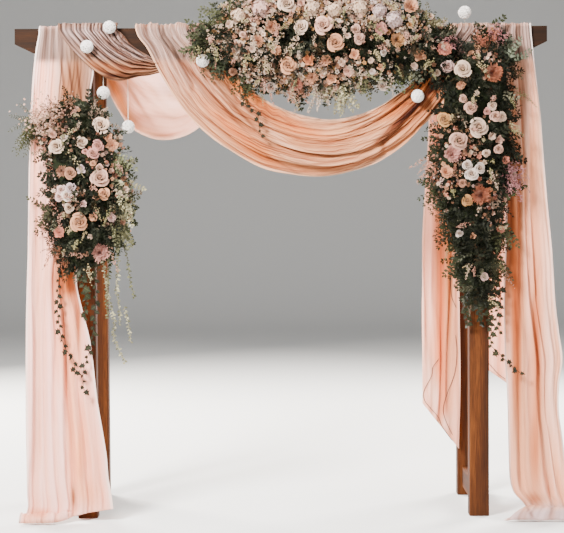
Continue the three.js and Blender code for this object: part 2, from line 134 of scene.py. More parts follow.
def spline_weights(knots: Array, places: Array) -> Array:
    """Weights of a smooth curve through its knots, one row for each place.

    The curve is a cubic between the knots on either side of the place, and its slope at a knot is
    the line between that knot's two neighbours.

    Args:
        knots: rising places of the knots.
        places: where the curve is wanted.

    Returns:
        An array of len(places) by len(knots).
    """
    last = len(knots) - 1
    slope = np.zeros((last + 1, last + 1))
    for k in range(last + 1):
        before, after = max(k - 1, 0), min(k + 1, last)
        slope[k, after] += 1 / (knots[after] - knots[before])
        slope[k, before] -= 1 / (knots[after] - knots[before])
    k = np.clip(np.searchsorted(knots, places, side="right") - 1, 0, last - 1)
    step = knots[k + 1] - knots[k]
    t = (places - knots[k]) / step
    eye = np.eye(last + 1)
    return (((1 + 2 * t) * (1 - t) ** 2)[:, None] * eye[k] + (t * (1 - t) ** 2 * step)[:, None] * slope[k]
            + (t * t * (3 - 2 * t))[:, None] * eye[k + 1] + (t * t * (t - 1) * step)[:, None] * slope[k + 1])


def curve(knots: Array, places: Array) -> Array:
    """Points at these distances along a smooth curve through the knots."""
    return spline_weights(run(knots), places) @ knots


def unit(vectors: Array) -> Array:
    """The vectors at length 1."""
    return vectors / np.maximum(np.linalg.norm(vectors, axis=-1, keepdims=True), 1e-9)


# ---------------------------------------------------------------- meshes


@dataclass
class Patch:
    """Points, faces of four corners and what each point carries."""

    points: Array
    quads: Array
    tint: Array
    uv: Array
    glow: Array | None = None

    @staticmethod
    def grid(points: Array, tint: Array, uv: Array | None = None, glow: Array | None = None,
             turned: bool = False) -> "Patch":
        """A patch from a rows by columns by 3 grid of points.

        Args:
            points: the grid, whose faces look along rows' direction crossed with columns'.
            tint: a colour for each point, or one colour.
            uv: place on the flat cloth for each point.
            glow: share of light that comes through at each point.
            turned: faces look the other way.

        Returns:
            The patch.
        """
        rows, columns = points.shape[:2]
        index = np.arange(rows * columns).reshape(rows, columns)
        corners = [index[:-1, :-1], index[1:, :-1], index[1:, 1:], index[:-1, 1:]]
        quads = np.stack([c.ravel() for c in (corners[::-1] if turned else corners)], 1)
        return Patch(points.reshape(-1, 3), quads, np.broadcast_to(tint, points.shape).reshape(-1, 3),
                     np.zeros((rows * columns, 2)) if uv is None else uv.reshape(-1, 2),
                     None if glow is None else glow.ravel())

    def pressed(self, start: float = -0.600, limit: float = -0.642) -> "Patch":
        """Keeps points from standing too far forward: y = start - room * (1 - e^(-(start - y) / room)).

        Args:
            start: y in front of which points are pressed back.
            limit: y that they come near to and never reach. Room is start - limit.

        Returns:
            The patch itself.
        """
        room, over = start - limit, np.clip(start - self.points[:, 1], 0, None)
        self.points[:, 1] = np.where(over > 0, start - room * (1 - np.exp(-over / room)), self.points[:, 1])
        return self

    @staticmethod
    def joined(patches: list["Patch"]) -> "Patch":
        """Puts patches together.

        Args:
            patches: at least one.

        Returns:
            All of them as one, which carries no glow.
        """
        starts = np.cumsum([0] + [len(p.points) for p in patches[:-1]])
        return Patch(np.concatenate([p.points for p in patches]),
                     np.concatenate([p.quads + s for p, s in zip(patches, starts)]),
                     np.concatenate([p.tint for p in patches]), np.concatenate([p.uv for p in patches]))


def scattered(form: Patch, turns: Array, places: Array, colours: Array) -> Patch:
    """Many copies of one form: point = turn times the form's point, plus place.

    Args:
        form: the form, whose tint multiplies each copy's colour.
        turns: n by 3 by 3, each a turn and a size.
        places, colours: n by 3.

    Returns:
        One patch with every copy.
    """
    count, size = len(places), len(form.points)
    points = np.einsum("nij,pj->npi", turns, form.points) + places[:, None, :]
    quads = form.quads[None] + (np.arange(count) * size)[:, None, None]
    tint = form.tint[None] * colours[:, None, :]
    return Patch(points.reshape(-1, 3), quads.reshape(-1, 4), tint.reshape(-1, 3), np.tile(form.uv, (count, 1)))


def turns_towards(axis: Array, size: Array, draw: np.random.Generator) -> Array:
    """Turns that point each copy's Z along its axis, with a random twist about it.

    Args:
        axis: n by 3.
        size: n sizes.
        draw: random numbers.

    Returns:
        n by 3 by 3.
    """
    z = unit(axis)
    x = unit(np.cross(unit(draw.normal(size=z.shape)), z))
    return np.stack([x, np.cross(z, x), z], -1) * np.reshape(size, (-1, 1, 1))


def leaf_turns(along: Array, face: Array, size: Array, width: Array | float = 1.0) -> Array:
    """Turns that lay a leaf's length along one direction with its face towards another.

    Args:
        along, face: n by 3. The face is made square to along.
        size: n lengths.
        width: n widths as a share of the form's own.

    Returns:
        n by 3 by 3.
    """
    x = unit(along)
    y = unit(np.cross(face, x))
    scale = np.stack(np.broadcast_arrays(size, size * width, size), -1)
    return np.stack([x, y, np.cross(x, y)], -1) * scale[:, None, :]


def tube(path: Array, radius: float, sides: int, tint: Array, closed: bool = False) -> Patch:
    """A round tube: ring point = path point + radius * (cos a * side + sin a * other side).

    Args:
        path: n by 3.
        radius: its radius.
        sides: corners of the ring.
        tint: its colour.
        closed: the path's end meets its start, or else its two ends are drawn together to a point.

    Returns:
        The tube.
    """
    radii = np.full(len(path) + closed, radius)
    if closed:
        path = np.concatenate([path, path[:1]])
    else:
        radii[[0, -1]] = 1e-5
    ahead = unit(np.gradient(path, axis=0))
    if closed:
        ahead[0] = ahead[-1] = unit(ahead[0] + ahead[-1])
    helper = np.eye(3)[int(np.argmin(np.ptp(path, axis=0)))] + 0.001
    side = unit(np.cross(ahead, helper))
    angle = np.linspace(0, TURN, sides + 1)
    ring = np.cos(angle)[:, None] * side[:, None] + np.sin(angle)[:, None] * np.cross(ahead, side)[:, None]
    uv = np.stack(np.broadcast_arrays(angle / TURN, run(path)[:, None]), -1)
    return Patch.grid(path[:, None] + radii[:, None, None] * ring, tint, uv)


def linked(name: str, data: bpy.types.ID, axes: Array = np.eye(3), place: Array = np.zeros(3)) -> bpy.types.Object:
    """A new object in the scene.

    Args:
        name: its name.
        data: the mesh, light or camera that it shows.
        axes: its X, Y and Z as the columns of a matrix.
        place: its origin.

    Returns:
        The object.
    """
    made = bpy.data.objects.new(name, data)
    matrix = np.eye(4)
    matrix[:3, :3], matrix[:3, 3] = axes, place
    made.matrix_world = Matrix(matrix.tolist())
    bpy.context.scene.collection.objects.link(made)
    return made


def make_mesh(name: str, patch: Patch, finish: Material) -> bpy.types.Mesh:
    """A smooth mesh of a patch, moved from the middle of the posts into the frame.

    Args:
        name: its name.
        patch: its points and faces.
        finish: its material.

    Returns:
        The mesh.
    """
    mesh = bpy.data.meshes.new(name)
    mesh.from_pydata((patch.points + MIDDLE).tolist(), [], patch.quads.tolist())
    mesh.polygons.foreach_set("use_smooth", np.ones(len(mesh.polygons), bool))
    mesh.materials.append(finish)
    return mesh


def make_piece(name: str, patch: Patch, finish: Material, replaces: tuple[str, ...] = (),
               merged: float = 0.0) -> bpy.types.Object:
    """Puts a patch into a mesh object that rides on the frame.

    Args:
        name: the piece's name.
        patch: its points and faces.
        finish: its material.
        replaces: the nodes that it stands for.
        merged: points nearer each other than this become one.

    Returns:
        The object.
    """
    mesh = make_mesh(name, patch, finish)
    tints = np.concatenate([patch.tint, np.ones((len(patch.tint), 1))], 1).astype(np.float32)
    mesh.color_attributes.new("tint", "FLOAT_COLOR", "POINT").data.foreach_set("color", tints.ravel())
    if patch.glow is not None:
        mesh.attributes.new("glow", "FLOAT", "POINT").data.foreach_set("value", patch.glow.astype(np.float32))
    corner = np.zeros(len(mesh.loops), np.int32)
    mesh.loops.foreach_get("vertex_index", corner)
    mesh.uv_layers.new(name="flat").data.foreach_set("uv", patch.uv[corner].astype(np.float32).ravel())
    if merged:
        work = bmesh.new()
        work.from_mesh(mesh)
        bmesh.ops.remove_doubles(work, verts=work.verts, dist=merged)
        work.to_mesh(mesh)
        work.free()
    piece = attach(linked(name, mesh), "root")
    if replaces:
        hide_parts(*replaces)
    log.info("%s: %d points, %d faces", name, len(mesh.vertices), len(mesh.polygons))
    return piece


# ---------------------------------------------------------------- finishes


class Signal:
    """A shader socket on which ordinary arithmetic adds Math nodes."""

    def __init__(self, bench: "FinishBench", socket: bpy.types.NodeSocket) -> None:
        """Wraps a socket of that bench's tree."""
        self.bench, self.socket = bench, socket

    def math(self, operation: str, first: "Signal | float", second: "Signal | float" = 0.0) -> "Signal":
        """One Math node."""
        return self.bench.signal("ShaderNodeMath", {"operation": operation}, {0: first, 1: second})

    def __add__(self, other: "Signal | float") -> "Signal":
        """self + other."""
        return self.math("ADD", self, other)

    def __sub__(self, other: "Signal | float") -> "Signal":
        """self - other."""
        return self.math("SUBTRACT", self, other)

    def __rsub__(self, other: float) -> "Signal":
        """other - self."""
        return self.math("SUBTRACT", other, self)

    def __mul__(self, other: "Signal | float") -> "Signal":
        """self * other."""
        return self.math("MULTIPLY", self, other)

    __radd__ = __add__
    __rmul__ = __mul__

    def __pow__(self, other: float) -> "Signal":
        """self to the power of other."""
        return self.math("POWER", self, other)

    def sine(self) -> "Signal":
        """The sine of self."""
        return self.math("SINE", self)

    def size(self) -> "Signal":
        """self without its sign."""
        return self.math("ABSOLUTE", self)

    def clipped(self) -> "Signal":
        """self, kept from 0 to 1."""
        return self.math("MINIMUM", self.math("MAXIMUM", self, 0.0), 1.0)


class FinishBench:
    """One material's nodes, and the only place where they are made."""

    def __init__(self, name: str) -> None:
        """Starts a material with an empty node tree.

        Args:
            name: the material's name.
        """
        self.material = bpy.data.materials.new(name)
        self.material.use_nodes = True
        self.tree = self.material.node_tree
        self.tree.nodes.clear()

    def signal(self, kind: str, settings: dict[str, object] | None = None,
               inputs: dict[str | int, object] | None = None, output: str | int = 0) -> Signal | None:
        """Makes one node.

        Args:
            kind: the node's type.
            settings: its properties, set first. "stops" holds a ramp's (place, colour) pairs.
            inputs: a Signal to link, or a value to set, for each socket by name or number.
            output: which of its outputs is wanted.

        Returns:
            That output, or None for a node that has none.
        """
        made = self.tree.nodes.new(kind)
        for name, value in (settings or {}).items():
            if name == "stops":
                while len(made.color_ramp.elements) < len(value):
                    made.color_ramp.elements.new(1.0)
                for element, (place, colour) in zip(made.color_ramp.elements, value):
                    element.position, element.color = place, rgba(colour)
            else:
                setattr(made, name, value)
        for key, value in (inputs or {}).items():
            if isinstance(value, Signal):
                self.tree.links.new(value.socket, made.inputs[key])
            else:
                made.inputs[key].default_value = value
        return Signal(self, made.outputs[output]) if made.outputs else None

    def place(self) -> Signal:
        """The point's place in the frame."""
        return self.signal("ShaderNodeTexCoord", output="Object")

    def flat(self) -> Signal:
        """The point's place on the flat cloth, petal or leaf."""
        return self.signal("ShaderNodeTexCoord", output="UV")

    def flat_axes(self) -> tuple[Signal, Signal]:
        """The same place as two numbers, across and along."""
        flat = self.flat()
        return tuple(self.signal("ShaderNodeSeparateXYZ", None, {0: flat}, k) for k in (0, 1))

    def attribute(self, name: str, output: str = "Color") -> Signal:
        """A value that the mesh carries."""
        return self.signal("ShaderNodeAttribute", {"attribute_name": name}, output=output)

    def stretched(self, place: Signal, size: Row, move: Row = (0, 0, 0)) -> Signal:
        """The place with each side multiplied by size."""
        return self.signal("ShaderNodeMapping", None, {"Vector": place, "Scale": size, "Location": move})

    def noise(self, place: Signal, scale: float, detail: float = 3.0, rough: float = 0.5) -> Signal:
        """Cloudy noise, about 0.2 to 0.8."""
        return self.signal("ShaderNodeTexNoise", None,
                           {"Vector": place, "Scale": scale, "Detail": detail, "Roughness": rough})

    def mixed(self, share: Signal, first: Signal, second: Colour, how: str = "MULTIPLY") -> Signal:
        """A colour mixed with a plain one."""
        return self.signal("ShaderNodeMix", {"data_type": "RGBA", "blend_type": how},
                           {0: share, 6: first, 7: rgba(second)}, 2)

    def ramp(self, tone: Signal, *stops: tuple[float, Colour]) -> Signal:
        """A colour picked by tone."""
        return self.signal("ShaderNodeValToRGB", {"stops": stops}, {"Fac": tone})

    def finished(self, colour: Signal | Row, rough: Signal | float, height: Signal | None = None,
                 bump: Row = (0.5, 0.001), gloss: float = 0.1, sheen: float = 0.0,
                 through: Colour | None = None, share: Signal | float = 0.0) -> Material:
        """Ends the tree in one surface.

        Args:
            colour, rough: its base colour and roughness.
            height: what its normal follows.
            bump: that height's strength and distance.
            gloss, sheen: its specular level and sheen weight.
            through: the colour of the light that comes through it.
            share: how much does.

        Returns:
            The material.
        """
        inputs = {"Base Color": colour, "Roughness": rough, "Specular IOR Level": gloss, "Sheen Weight": sheen}
        if height:
            inputs["Normal"] = self.signal("ShaderNodeBump", None, {
                "Height": height, "Strength": bump[0], "Distance": bump[1]})
        shader = self.signal("ShaderNodeBsdfPrincipled", None, inputs)
        if through:
            back = self.signal("ShaderNodeBsdfTranslucent", None, {"Color": rgba(through)})
            shader = self.signal("ShaderNodeMixShader", None, {0: share, 1: shader, 2: back})
        self.signal("ShaderNodeOutputMaterial", None, {"Surface": shader})
        return self.material


class Grain(Enum):
    """Which way a timber's grain runs, as how long its figure is along X, Y and Z."""

    ALONG_X = (0.045, 1.0, 1.0)
    ALONG_Y = (1.0, 0.045, 1.0)
    ALONG_Z = (1.0, 1.0, 0.045)


@dataclass(frozen=True)
class TimberFinish:
    """Planed softwood with a dark stain: growth rings about a wandering heart, fine fibres, pores."""

    name: str
    grain: Grain
    heart: Row
    pale: Colour = (49, 27.5, 11.5)
    brown: Colour = (27.5, 14, 5.5)
    dark: Colour = (10, 5.2, 2.6)
    rings_per_metre: float = 22.0

    def material(self) -> Material:
        """Ring tone = sine of (distance from the heart * rings + noise), fibres = long noise.

        Returns:
            The material.
        """
        bench = FinishBench(self.name)
        place = bench.stretched(bench.place(), self.grain.value, self.heart)
        distance = bench.signal("ShaderNodeVectorMath", {"operation": "LENGTH"}, {0: place}, "Value")
        rings = (distance * (self.rings_per_metre * TURN) + bench.noise(place, 2.2) * 26.0).sine() * 0.5 + 0.5
        fibres = bench.noise(place, 260.0, 3.0, 0.6)
        tone = (rings * 0.20 + bench.noise(place, 34.0, 4.0, 0.6) * 0.55 + fibres * 0.62 - 0.22).clipped()
        wood = bench.ramp(tone, (0.12, self.dark), (0.5, self.brown), (0.9, self.pale))
        weathered = bench.mixed(bench.noise(bench.place(), 2.6, 2.0) * 0.35, wood, self.dark, "MIX")
        height = fibres * 0.5 + bench.noise(place, 520.0, 2.0) * 0.3 + rings * 0.2
        return bench.finished(weathered, 0.62 + tone * 0.2, height, bump=(0.42, 0.0025))


@dataclass(frozen=True)
class ChiffonFinish:
    """Sheer crepe chiffon: a fine plain weave, a soft sheen and light that comes through."""

    name: str
    through: Colour = (98, 82, 72)
    lets_through: float = 0.20
    streaks: float = 0.14
    threads_per_metre: float = 900.0

    def material(self) -> Material:
        """Weave = sine across times sine along, broken by crepe noise, tinted by the cloth's folds.

        Returns:
            The material.
        """
        bench = FinishBench(self.name)
        flat = bench.flat()
        warp, weft = ((axis * (self.threads_per_metre * TURN)).sine() for axis in bench.flat_axes())
        weave = warp * weft * 0.5 + 0.5
        crepe = bench.noise(bench.stretched(flat, (1.0, 0.35, 1.0)), 420.0, 3.0, 0.6)
        slubs = bench.noise(bench.stretched(flat, (14.0, 0.8, 1.0)), 22.0, 3.0, 0.6)
        darker = bench.mixed((weave * 0.10 + crepe * 0.16 + slubs * 0.12).clipped(),
                             bench.attribute("tint"), (80, 64, 57))
        folds = bench.noise(bench.stretched(flat, (120.0, 2.2, 1.0)), 1.0, 3.0, 0.6)
        lines = bench.noise(bench.stretched(flat, (330.0, 4.0, 1.0)), 1.0, 2.0)
        free = bench.attribute("glow", "Fac")
        share = ((folds - 0.50) * 4.5).clipped() * 0.7 + ((lines - 0.54) * 6.0).clipped() * 0.5
        streaked = bench.mixed((share * (self.streaks * (3.4 - free * 2.4))).clipped(), darker, (62, 44, 32))
        cloth = bench.mixed(bench.noise(bench.place(), 9.0, 2.0) * 0.25, streaked, (97, 86, 80), "SOFT_LIGHT")
        height = weave * 0.2 + crepe * 0.4 + slubs * 0.3 - folds * 1.4 - lines * 0.6
        return bench.finished(cloth, 0.62 + crepe * 0.2, height, bump=(0.5, 0.0022), gloss=0.08, sheen=0.08,
                              through=self.through, share=free * self.lets_through)


@dataclass(frozen=True)
class PetalFinish:
    """Silk petals: fine cross threads, veins and a little light through them."""

    name: str = "silk_petals"
    through: Colour = (95, 78, 68)

    def material(self) -> Material:
        """Tint from the petal, broken by veins along it and by cloudy noise.

        Returns:
            The material.
        """
        bench = FinishBench(self.name)
        veins = bench.noise(bench.stretched(bench.flat(), (38.0, 3.0, 1.0)), 1.0, 3.0, 0.6)
        threads = bench.noise(bench.place(), 1500.0, 2.0)
        share = (veins * 0.45 + bench.noise(bench.place(), 60.0, 2.0) * 0.35 + threads * 0.15 - 0.12).clipped()
        colour = bench.mixed(share, bench.attribute("tint"), (80, 62, 52))
        return bench.finished(colour, 0.62 + threads * 0.2, veins * 0.6 + threads * 0.3, bump=(0.4, 0.001),
                              gloss=0.10, sheen=0.06, through=self.through, share=0.16)


@dataclass(frozen=True)
class LeafFinish:
    """Fabric leaves: a pale midrib, side veins, a dull gloss."""

    name: str = "leaves"
    through: Colour = (40, 42, 26)

    def material(self) -> Material:
        """Midrib = near the leaf's middle line, side veins = slanted sine, mottled by noise.

        Returns:
            The material.
        """
        bench = FinishBench(self.name)
        across, along = bench.flat_axes()
        side = (across - 0.5).size()
        rib = (1.0 - side * 16.0).clipped()
        veins = ((along * 46.0 - side * 42.0).sine() * 0.5 + 0.5) ** 3.0
        mottle = bench.noise(bench.place(), 45.0)
        dark = bench.mixed((mottle * 0.8 - 0.1).clipped(), bench.attribute("tint"), (50, 52, 40))
        colour = bench.mixed((rib * 0.10 + veins * 0.04).clipped(), dark, (62, 66, 46), "MIX")
        return bench.finished(colour, 0.48 + mottle * 0.3, rib * 0.6 + veins * 0.3 + mottle * 0.2,
                              bump=(0.5, 0.0015), gloss=0.12, through=self.through, share=0.07)


@dataclass(frozen=True)
class ThreadFinish:
    """Wound cotton thread: a twist of two plies."""

    name: str = "cotton_thread"
    shadow: Colour = (80, 74, 68)

    def material(self) -> Material:
        """Twist = sine of (place along the thread + place around it).

        Returns:
            The material.
        """
        bench = FinishBench(self.name)
        around, along = bench.flat_axes()
        twist = (around * TURN + along * 1900.0).sine()
        fuzz = bench.noise(bench.place(), 900.0, 2.0)
        colour = bench.mixed((twist * 0.12 + fuzz * 0.5).clipped(), bench.attribute("tint"), self.shadow)
        return bench.finished(colour, 0.75 + fuzz * 0.1, twist * 0.5 + fuzz * 0.5, bump=(0.5, 0.0008),
                              gloss=0.3, sheen=0.3)


@dataclass(frozen=True)
class MossFinish:
    """Crumbly dry floral foam under moss."""

    name: str = "moss"
    stops: tuple[tuple[float, Colour], ...] = ((0.15, (6, 7, 5)), (0.55, (12, 14, 8)), (0.9, (22, 23, 14)))

    def material(self) -> Material:
        """Clumps = coarse noise, crumbs = fine cells, both in tone and height.

        Returns:
            The material.
        """
        bench = FinishBench(self.name)
        clumps = bench.noise(bench.place(), 38.0, 4.0, 0.65)
        crumbs = bench.signal("ShaderNodeTexVoronoi", None, {"Vector": bench.place(), "Scale": 420.0})
        colour = bench.ramp((clumps * 0.9 + crumbs * 0.3 - 0.15).clipped(), *self.stops)
        return bench.finished(colour, 0.85 + crumbs * 0.1, clumps * 0.7 + crumbs * 0.4, bump=(0.8, 0.006))


# ---------------------------------------------------------------- cloth


@dataclass(frozen=True)
class Pleats:
    """Folds that run along a cloth.

    `depth` is (percent along the cloth, depth in mm) pairs, `lean` how far crests lean over sideways,
    `wander` how many folds they drift, `uneven` how much their depths differ, `shows` how much they
    count for the dye, and `sharp` how sharp their valleys are.
    """

    count: float
    depth: tuple[Row, ...]
    seed: int
    lean: float = 0.0
    wander: float = 0.8
    uneven: float = 0.6
    slant: float = 0.0
    shows: float = 1.0
    sharp: float = 0.45

    def height(self, u: Array, v: Array) -> tuple[Array, Array]:
        """The folds' form at each place.

        Crest = (1 - sharp) * (0.5 + 0.5 cos 2 pi p) + sharp * |cos pi p|, where p is the fold's number
        at that place: count * u + slant * v + a slow random drift.

        Args:
            u, v: places across and along the cloth, 0 to 1.

        Returns:
            The crest height from 0 to 1, and the depth in metres.
        """
        phase = self.count * u + self.slant * v + self.wander * ripple(u, v, self.seed, 1.6, 2.2)
        crest = (1 - self.sharp) * (0.5 + 0.5 * np.cos(TURN * phase)) + self.sharp * np.abs(np.cos(math.pi * phase))
        share = 1 - self.uneven * (0.5 + 0.5 * ripple(u, v, self.seed + 1, self.count / 2.2, 2.0))
        return crest, np.clip(share, 0.05, 1.2) * np.interp(100 * v, *zip(*self.depth)) / 1000


@dataclass(frozen=True)
class Crease:
    """One sharp valley: (x, z) points up the cloth, its half width and its depth, all in mm."""

    line: tuple[Row, ...]
    wide: float
    deep: float

    def valley(self, x: Array, z: Array) -> Array:
        """The valley's form: exp of -(distance / width) squared, faded at the line's two ends.

        Args:
            x, z: the cloth's points in mm.

        Returns:
            1 along the valley's line, 0 away from it.
        """
        xs, zs = np.array(self.line).T
        away = (x - np.interp(z, zs, xs)) / self.wide
        ends = smooth_step(z, zs[0] - 80, zs[0] + 30) * (1 - smooth_step(z, zs[-1] - 30, zs[-1] + 80))
        return np.exp(-away * away) * ends


@dataclass(frozen=True)
class Stain:
    """An oval patch of another tone: its middle and half sizes in mm, strength, tone, turn in degrees."""

    x: float
    z: float
    wide: float
    high: float
    strength: float
    tone: Colour = (50, 33, 25)
    turn: float = 0.0

    def at(self, x: Array, z: Array) -> Array:
        """Strength * exp of -(along / wide) squared - (across / high) squared, turned about the middle.

        Args:
            x, z: the cloth's points in mm.

        Returns:
            How much of the stain's tone each point takes.
        """
        c, s = math.cos(math.radians(self.turn)), math.sin(math.radians(self.turn))
        along, across = (x - self.x) * c + (z - self.z) * s, (z - self.z) * c - (x - self.x) * s
        return self.strength * np.exp(-(along / self.wide) ** 2 - (across / self.high) ** 2)


def marks(*rows: tuple) -> tuple[Stain, ...]:
    """A stain of each row's values."""
    return tuple(Stain(*row) for row in rows)


@dataclass(frozen=True)
class Dye:
    """The colours of a cloth's crests and valleys, and of where it lies over the dark timber.

    `stains` deepen the folds' colour, `shades` lay another tone over crests and valleys alike,
    `crisp` is how sharply valleys stand out, `mottle` how much long streaks break them up, and `rim`
    how much of `rim_tone` the hems have, which fades out over `rim_band` metres.
    """

    crest: Colour
    valley: Colour
    over_timber: Colour = (67, 58, 55)
    timber_valley: Colour = (30, 21, 17)
    deep: Colour = (45, 22, 12)
    base: float = 0.7
    crisp: float = 0.5
    mottle: float = 0.1
    rim: float = 0.75
    rim_tone: Colour = (97, 92, 89)
    stains: tuple[Stain, ...] = ()
    shades: tuple[Stain, ...] = ()
    rim_band: Row = (0.003, 0.011)

    def tint(self, points: Array, crest: Array, backed: Array, facing: Array) -> Array:
        """Crest and valley colours mixed by height, then by how much timber lies behind.

        Free cloth is deepened, most where it is palest: colour = top * (colour / top) ^ (1.25 to 1.9).

        Args:
            points: the cloth's points in metres.
            crest: their crest heights, 0 to 1.
            backed: how much timber lies behind each, 0 to 1.
            facing: 1 on the part that is seen from the front, which alone has the shades.

        Returns:
            Each point's colour in linear light.
        """
        x, z = 1000 * points[..., 0], 1000 * points[..., 2]
        low = np.clip(1 - crest, 0, 1)
        low = low + self.crisp * (1 - smooth_step(crest, 0.12, 0.86) - low)
        rich = self.base + sum((stain.at(x, z) for stain in self.stains), np.zeros(low.shape))
        share = np.clip(low ** 1.2 * np.clip(rich, 0, 2) + np.clip(rich - 1, 0, 0.6), 0, 1)
        high, deep, held, held_deep = (np.array(tone, float) for tone in (
            self.crest, self.valley, self.over_timber, self.timber_valley))
        for patch in self.shades:
            here, tone = facing * np.clip(patch.at(x, z), 0, 0.95), np.array(patch.tone, float)
            high, deep = blend(high, tone, here), blend(deep, tone * (0.76, 0.66, 0.58), here)
            held, held_deep = blend(held, tone, 0.7 * here), blend(held_deep, tone * 0.5, 0.7 * here)
        free = blend(high, deep, share)
        free = blend(free, np.array(self.deep), 0.45 * self.crisp * smooth_step(low, 0.82, 1.0) * np.clip(rich, 0, 1))
        top = free.max(-1, keepdims=True)
        free = top * (free / top) ** (1.25 + 0.65 * smooth_step(top, 80, 100))
        return linear(free + (blend(held, held_deep, low) - free) * backed[..., None])


@dataclass
class Cloth:
    """A sheet of chiffon: a smooth surface through a net of points, with folds raised on it.

    The net is rows by columns by 3. Its faces look along rows' direction crossed with columns'. `grid`
    is how many points the piece has along and across, `wrinkle` the height of its crumples, `in_front`
    the y that it keeps in front of beside the front beam, and `points` its finished points.
    """

    name: str
    net: Array
    folds: tuple[Pleats, ...]
    grid: tuple[int, int]
    dye: Dye
    flat: tuple[float, float]
    held: str
    rests_on: tuple[str, ...]
    replaces: tuple[str, ...]
    seed: int
    creases: tuple[Crease, ...] = ()
    wrinkle: float = 0.0018
    at_rear: bool = False
    area: float | None = None
    thickness: float = 0.0009
    in_front: float = -BEAM_FACE - 0.0015
    points: Array | None = None

    def surface(self) -> tuple[Array, Array, Array]:
        """The net's smooth surface.

        Returns:
            The points, and how far along the cloth's length and width each lies, both 0 to 1.
        """
        along, across = run(self.net, 0).mean(1), run(self.net, 1).mean(0)
        even = np.linspace(0, along[-1], self.grid[0])
        kept = np.abs(even[:, None] - along).min(1) > 0.3 * along[-1] / self.grid[0]
        rows, columns = np.unique(np.concatenate([even[kept], along])), np.linspace(0, across[-1], self.grid[1])
        points = np.einsum("rk,kcx,lc->rlx", spline_weights(along, rows), self.net, spline_weights(across, columns))
        return points, *np.meshgrid(rows / along[-1], columns / across[-1], indexing="ij")

    def facing(self, points: Array) -> Array:
        """1 on the side that is seen from the front, 0 on the tail that hangs at the rear."""
        return np.ones(points.shape[:2]) if self.at_rear else smooth_step(-points[..., 1], *FRONT_PART)

    def backed(self, points: Array) -> Array:
        """How much of the dark front beam shows behind each point, a third less over its top edge.

        Args:
            points: in metres.

        Returns:
            0 to 1.
        """
        y, z = points[..., 1], points[..., 2]
        before = smooth_step(-y, POST_FACE, POST_FACE + 0.02)
        above = smooth_step(z, BEAM_UNDERSIDE - 0.02, BEAM_UNDERSIDE + 0.015)
        return before * above * (1 - 0.35 * smooth_step(z, BEAM_TOP - 0.004, BEAM_TOP + 0.006))

    def raised(self) -> tuple[Array, Array, Array]:
        """The surface with its folds: point + normal * height + sideways * lean * crest.

        Height = each fold's crest * depth, less the creases, and a random crumple. The crest height
        that the dye takes is the folds' mean, less in creases, broken by streaks along the cloth.

        Returns:
            The points, kept in front of the front beam, the place across from 0 to 1 and the crest
            height from 0 to 1.
        """
        points, v, u = self.surface()
        side = unit(np.gradient(points, axis=1))
        normal = unit(np.cross(unit(np.gradient(points, axis=0)), side))
        moved, shown = points.copy(), np.zeros(u.shape)
        for pleats in self.folds:
            crest, depth = pleats.height(u, v)
            moved += normal * (crest * depth)[..., None] + side * (pleats.lean * crest * depth)[..., None]
            shown += pleats.shows * crest / sum(p.shows for p in self.folds)
        for crease in self.creases:
            valley = crease.valley(1000 * points[..., 0], 1000 * points[..., 2]) * self.facing(points)
            moved -= normal * (crease.deep / 1000 * valley)[..., None]
            shown *= 1 - 0.9 * valley
        crumple = ripple(u, v, self.seed + 40, self.grid[1] / 9, self.grid[0] / 9, 14)
        moved += normal * (self.wrinkle * crumple)[..., None]
        streak = ripple(u, v, self.seed + 60, 26, 2.4, 26) + 0.6 * ripple(u, v, self.seed + 61, 60, 3.5, 30)
        if not self.at_rear:
            x, y, z = moved[..., 0], moved[..., 1], moved[..., 2]
            low, high = BEAM_UNDERSIDE - 0.02, BEAM_TOP - 0.002
            beside = (np.abs(x) < BEAM_REACH) & (z > low) & (z < high) & (y < -BEAM_MIDDLE)
            moved[..., 1] = np.where(beside, np.minimum(y, self.in_front), y)
        return moved, u, np.clip(shown + 0.05 * crumple + self.dye.mottle * streak, 0, 1)

    def build(self, finish: Material) -> None:
        """Light that comes through = (1 - 0.75 * what lies behind) * 1.6 * blue / red of the tint.

        Args:
            finish: the cloth's material.
        """
        points, u, crest = self.raised()
        self.points, backed = points, self.backed(points)
        hem = np.minimum(u, 1 - u) * np.linalg.norm(self.net[:, 0] - self.net[:, -1], axis=1).mean()
        tint = blend(self.dye.tint(points, crest, backed, self.facing(points)), linear(self.dye.rim_tone),
                     self.dye.rim * (1 - smooth_step(hem, *self.dye.rim_band)))
        sheer = (1 - 0.75 * backed) * np.clip(1.6 * tint[..., 2] / tint[..., 0], 0.15, 1)
        patch = Patch.grid(points, tint, np.stack([run(points, 1), run(points, 0)], -1), sheer)
        piece = make_piece(self.name, patch, finish, self.replaces)
        wall = piece.modifiers.new("cloth_wall", "SOLIDIFY")
        wall.thickness, wall.offset = self.thickness, 0.0


def edge_net(stations: list[Row], shares: Row) -> Array:
    """A net between two edges.

    Args:
        stations: (x of first edge, x of second edge, y, z) or (x1, x2, y, z1, z2) for each row.
        shares: where each column lies between the edges.

    Returns:
        Rows by columns by 3, straight across each row.
    """
    x1, x2, y, z1, z2 = np.array([(*row, row[3])[:5] for row in stations], float).T[:, :, None]
    share = np.asarray(shares)[None, :]
    return np.stack(np.broadcast_arrays(x1 + (x2 - x1) * share, y, z1 + (z2 - z1) * share), -1) / 1000


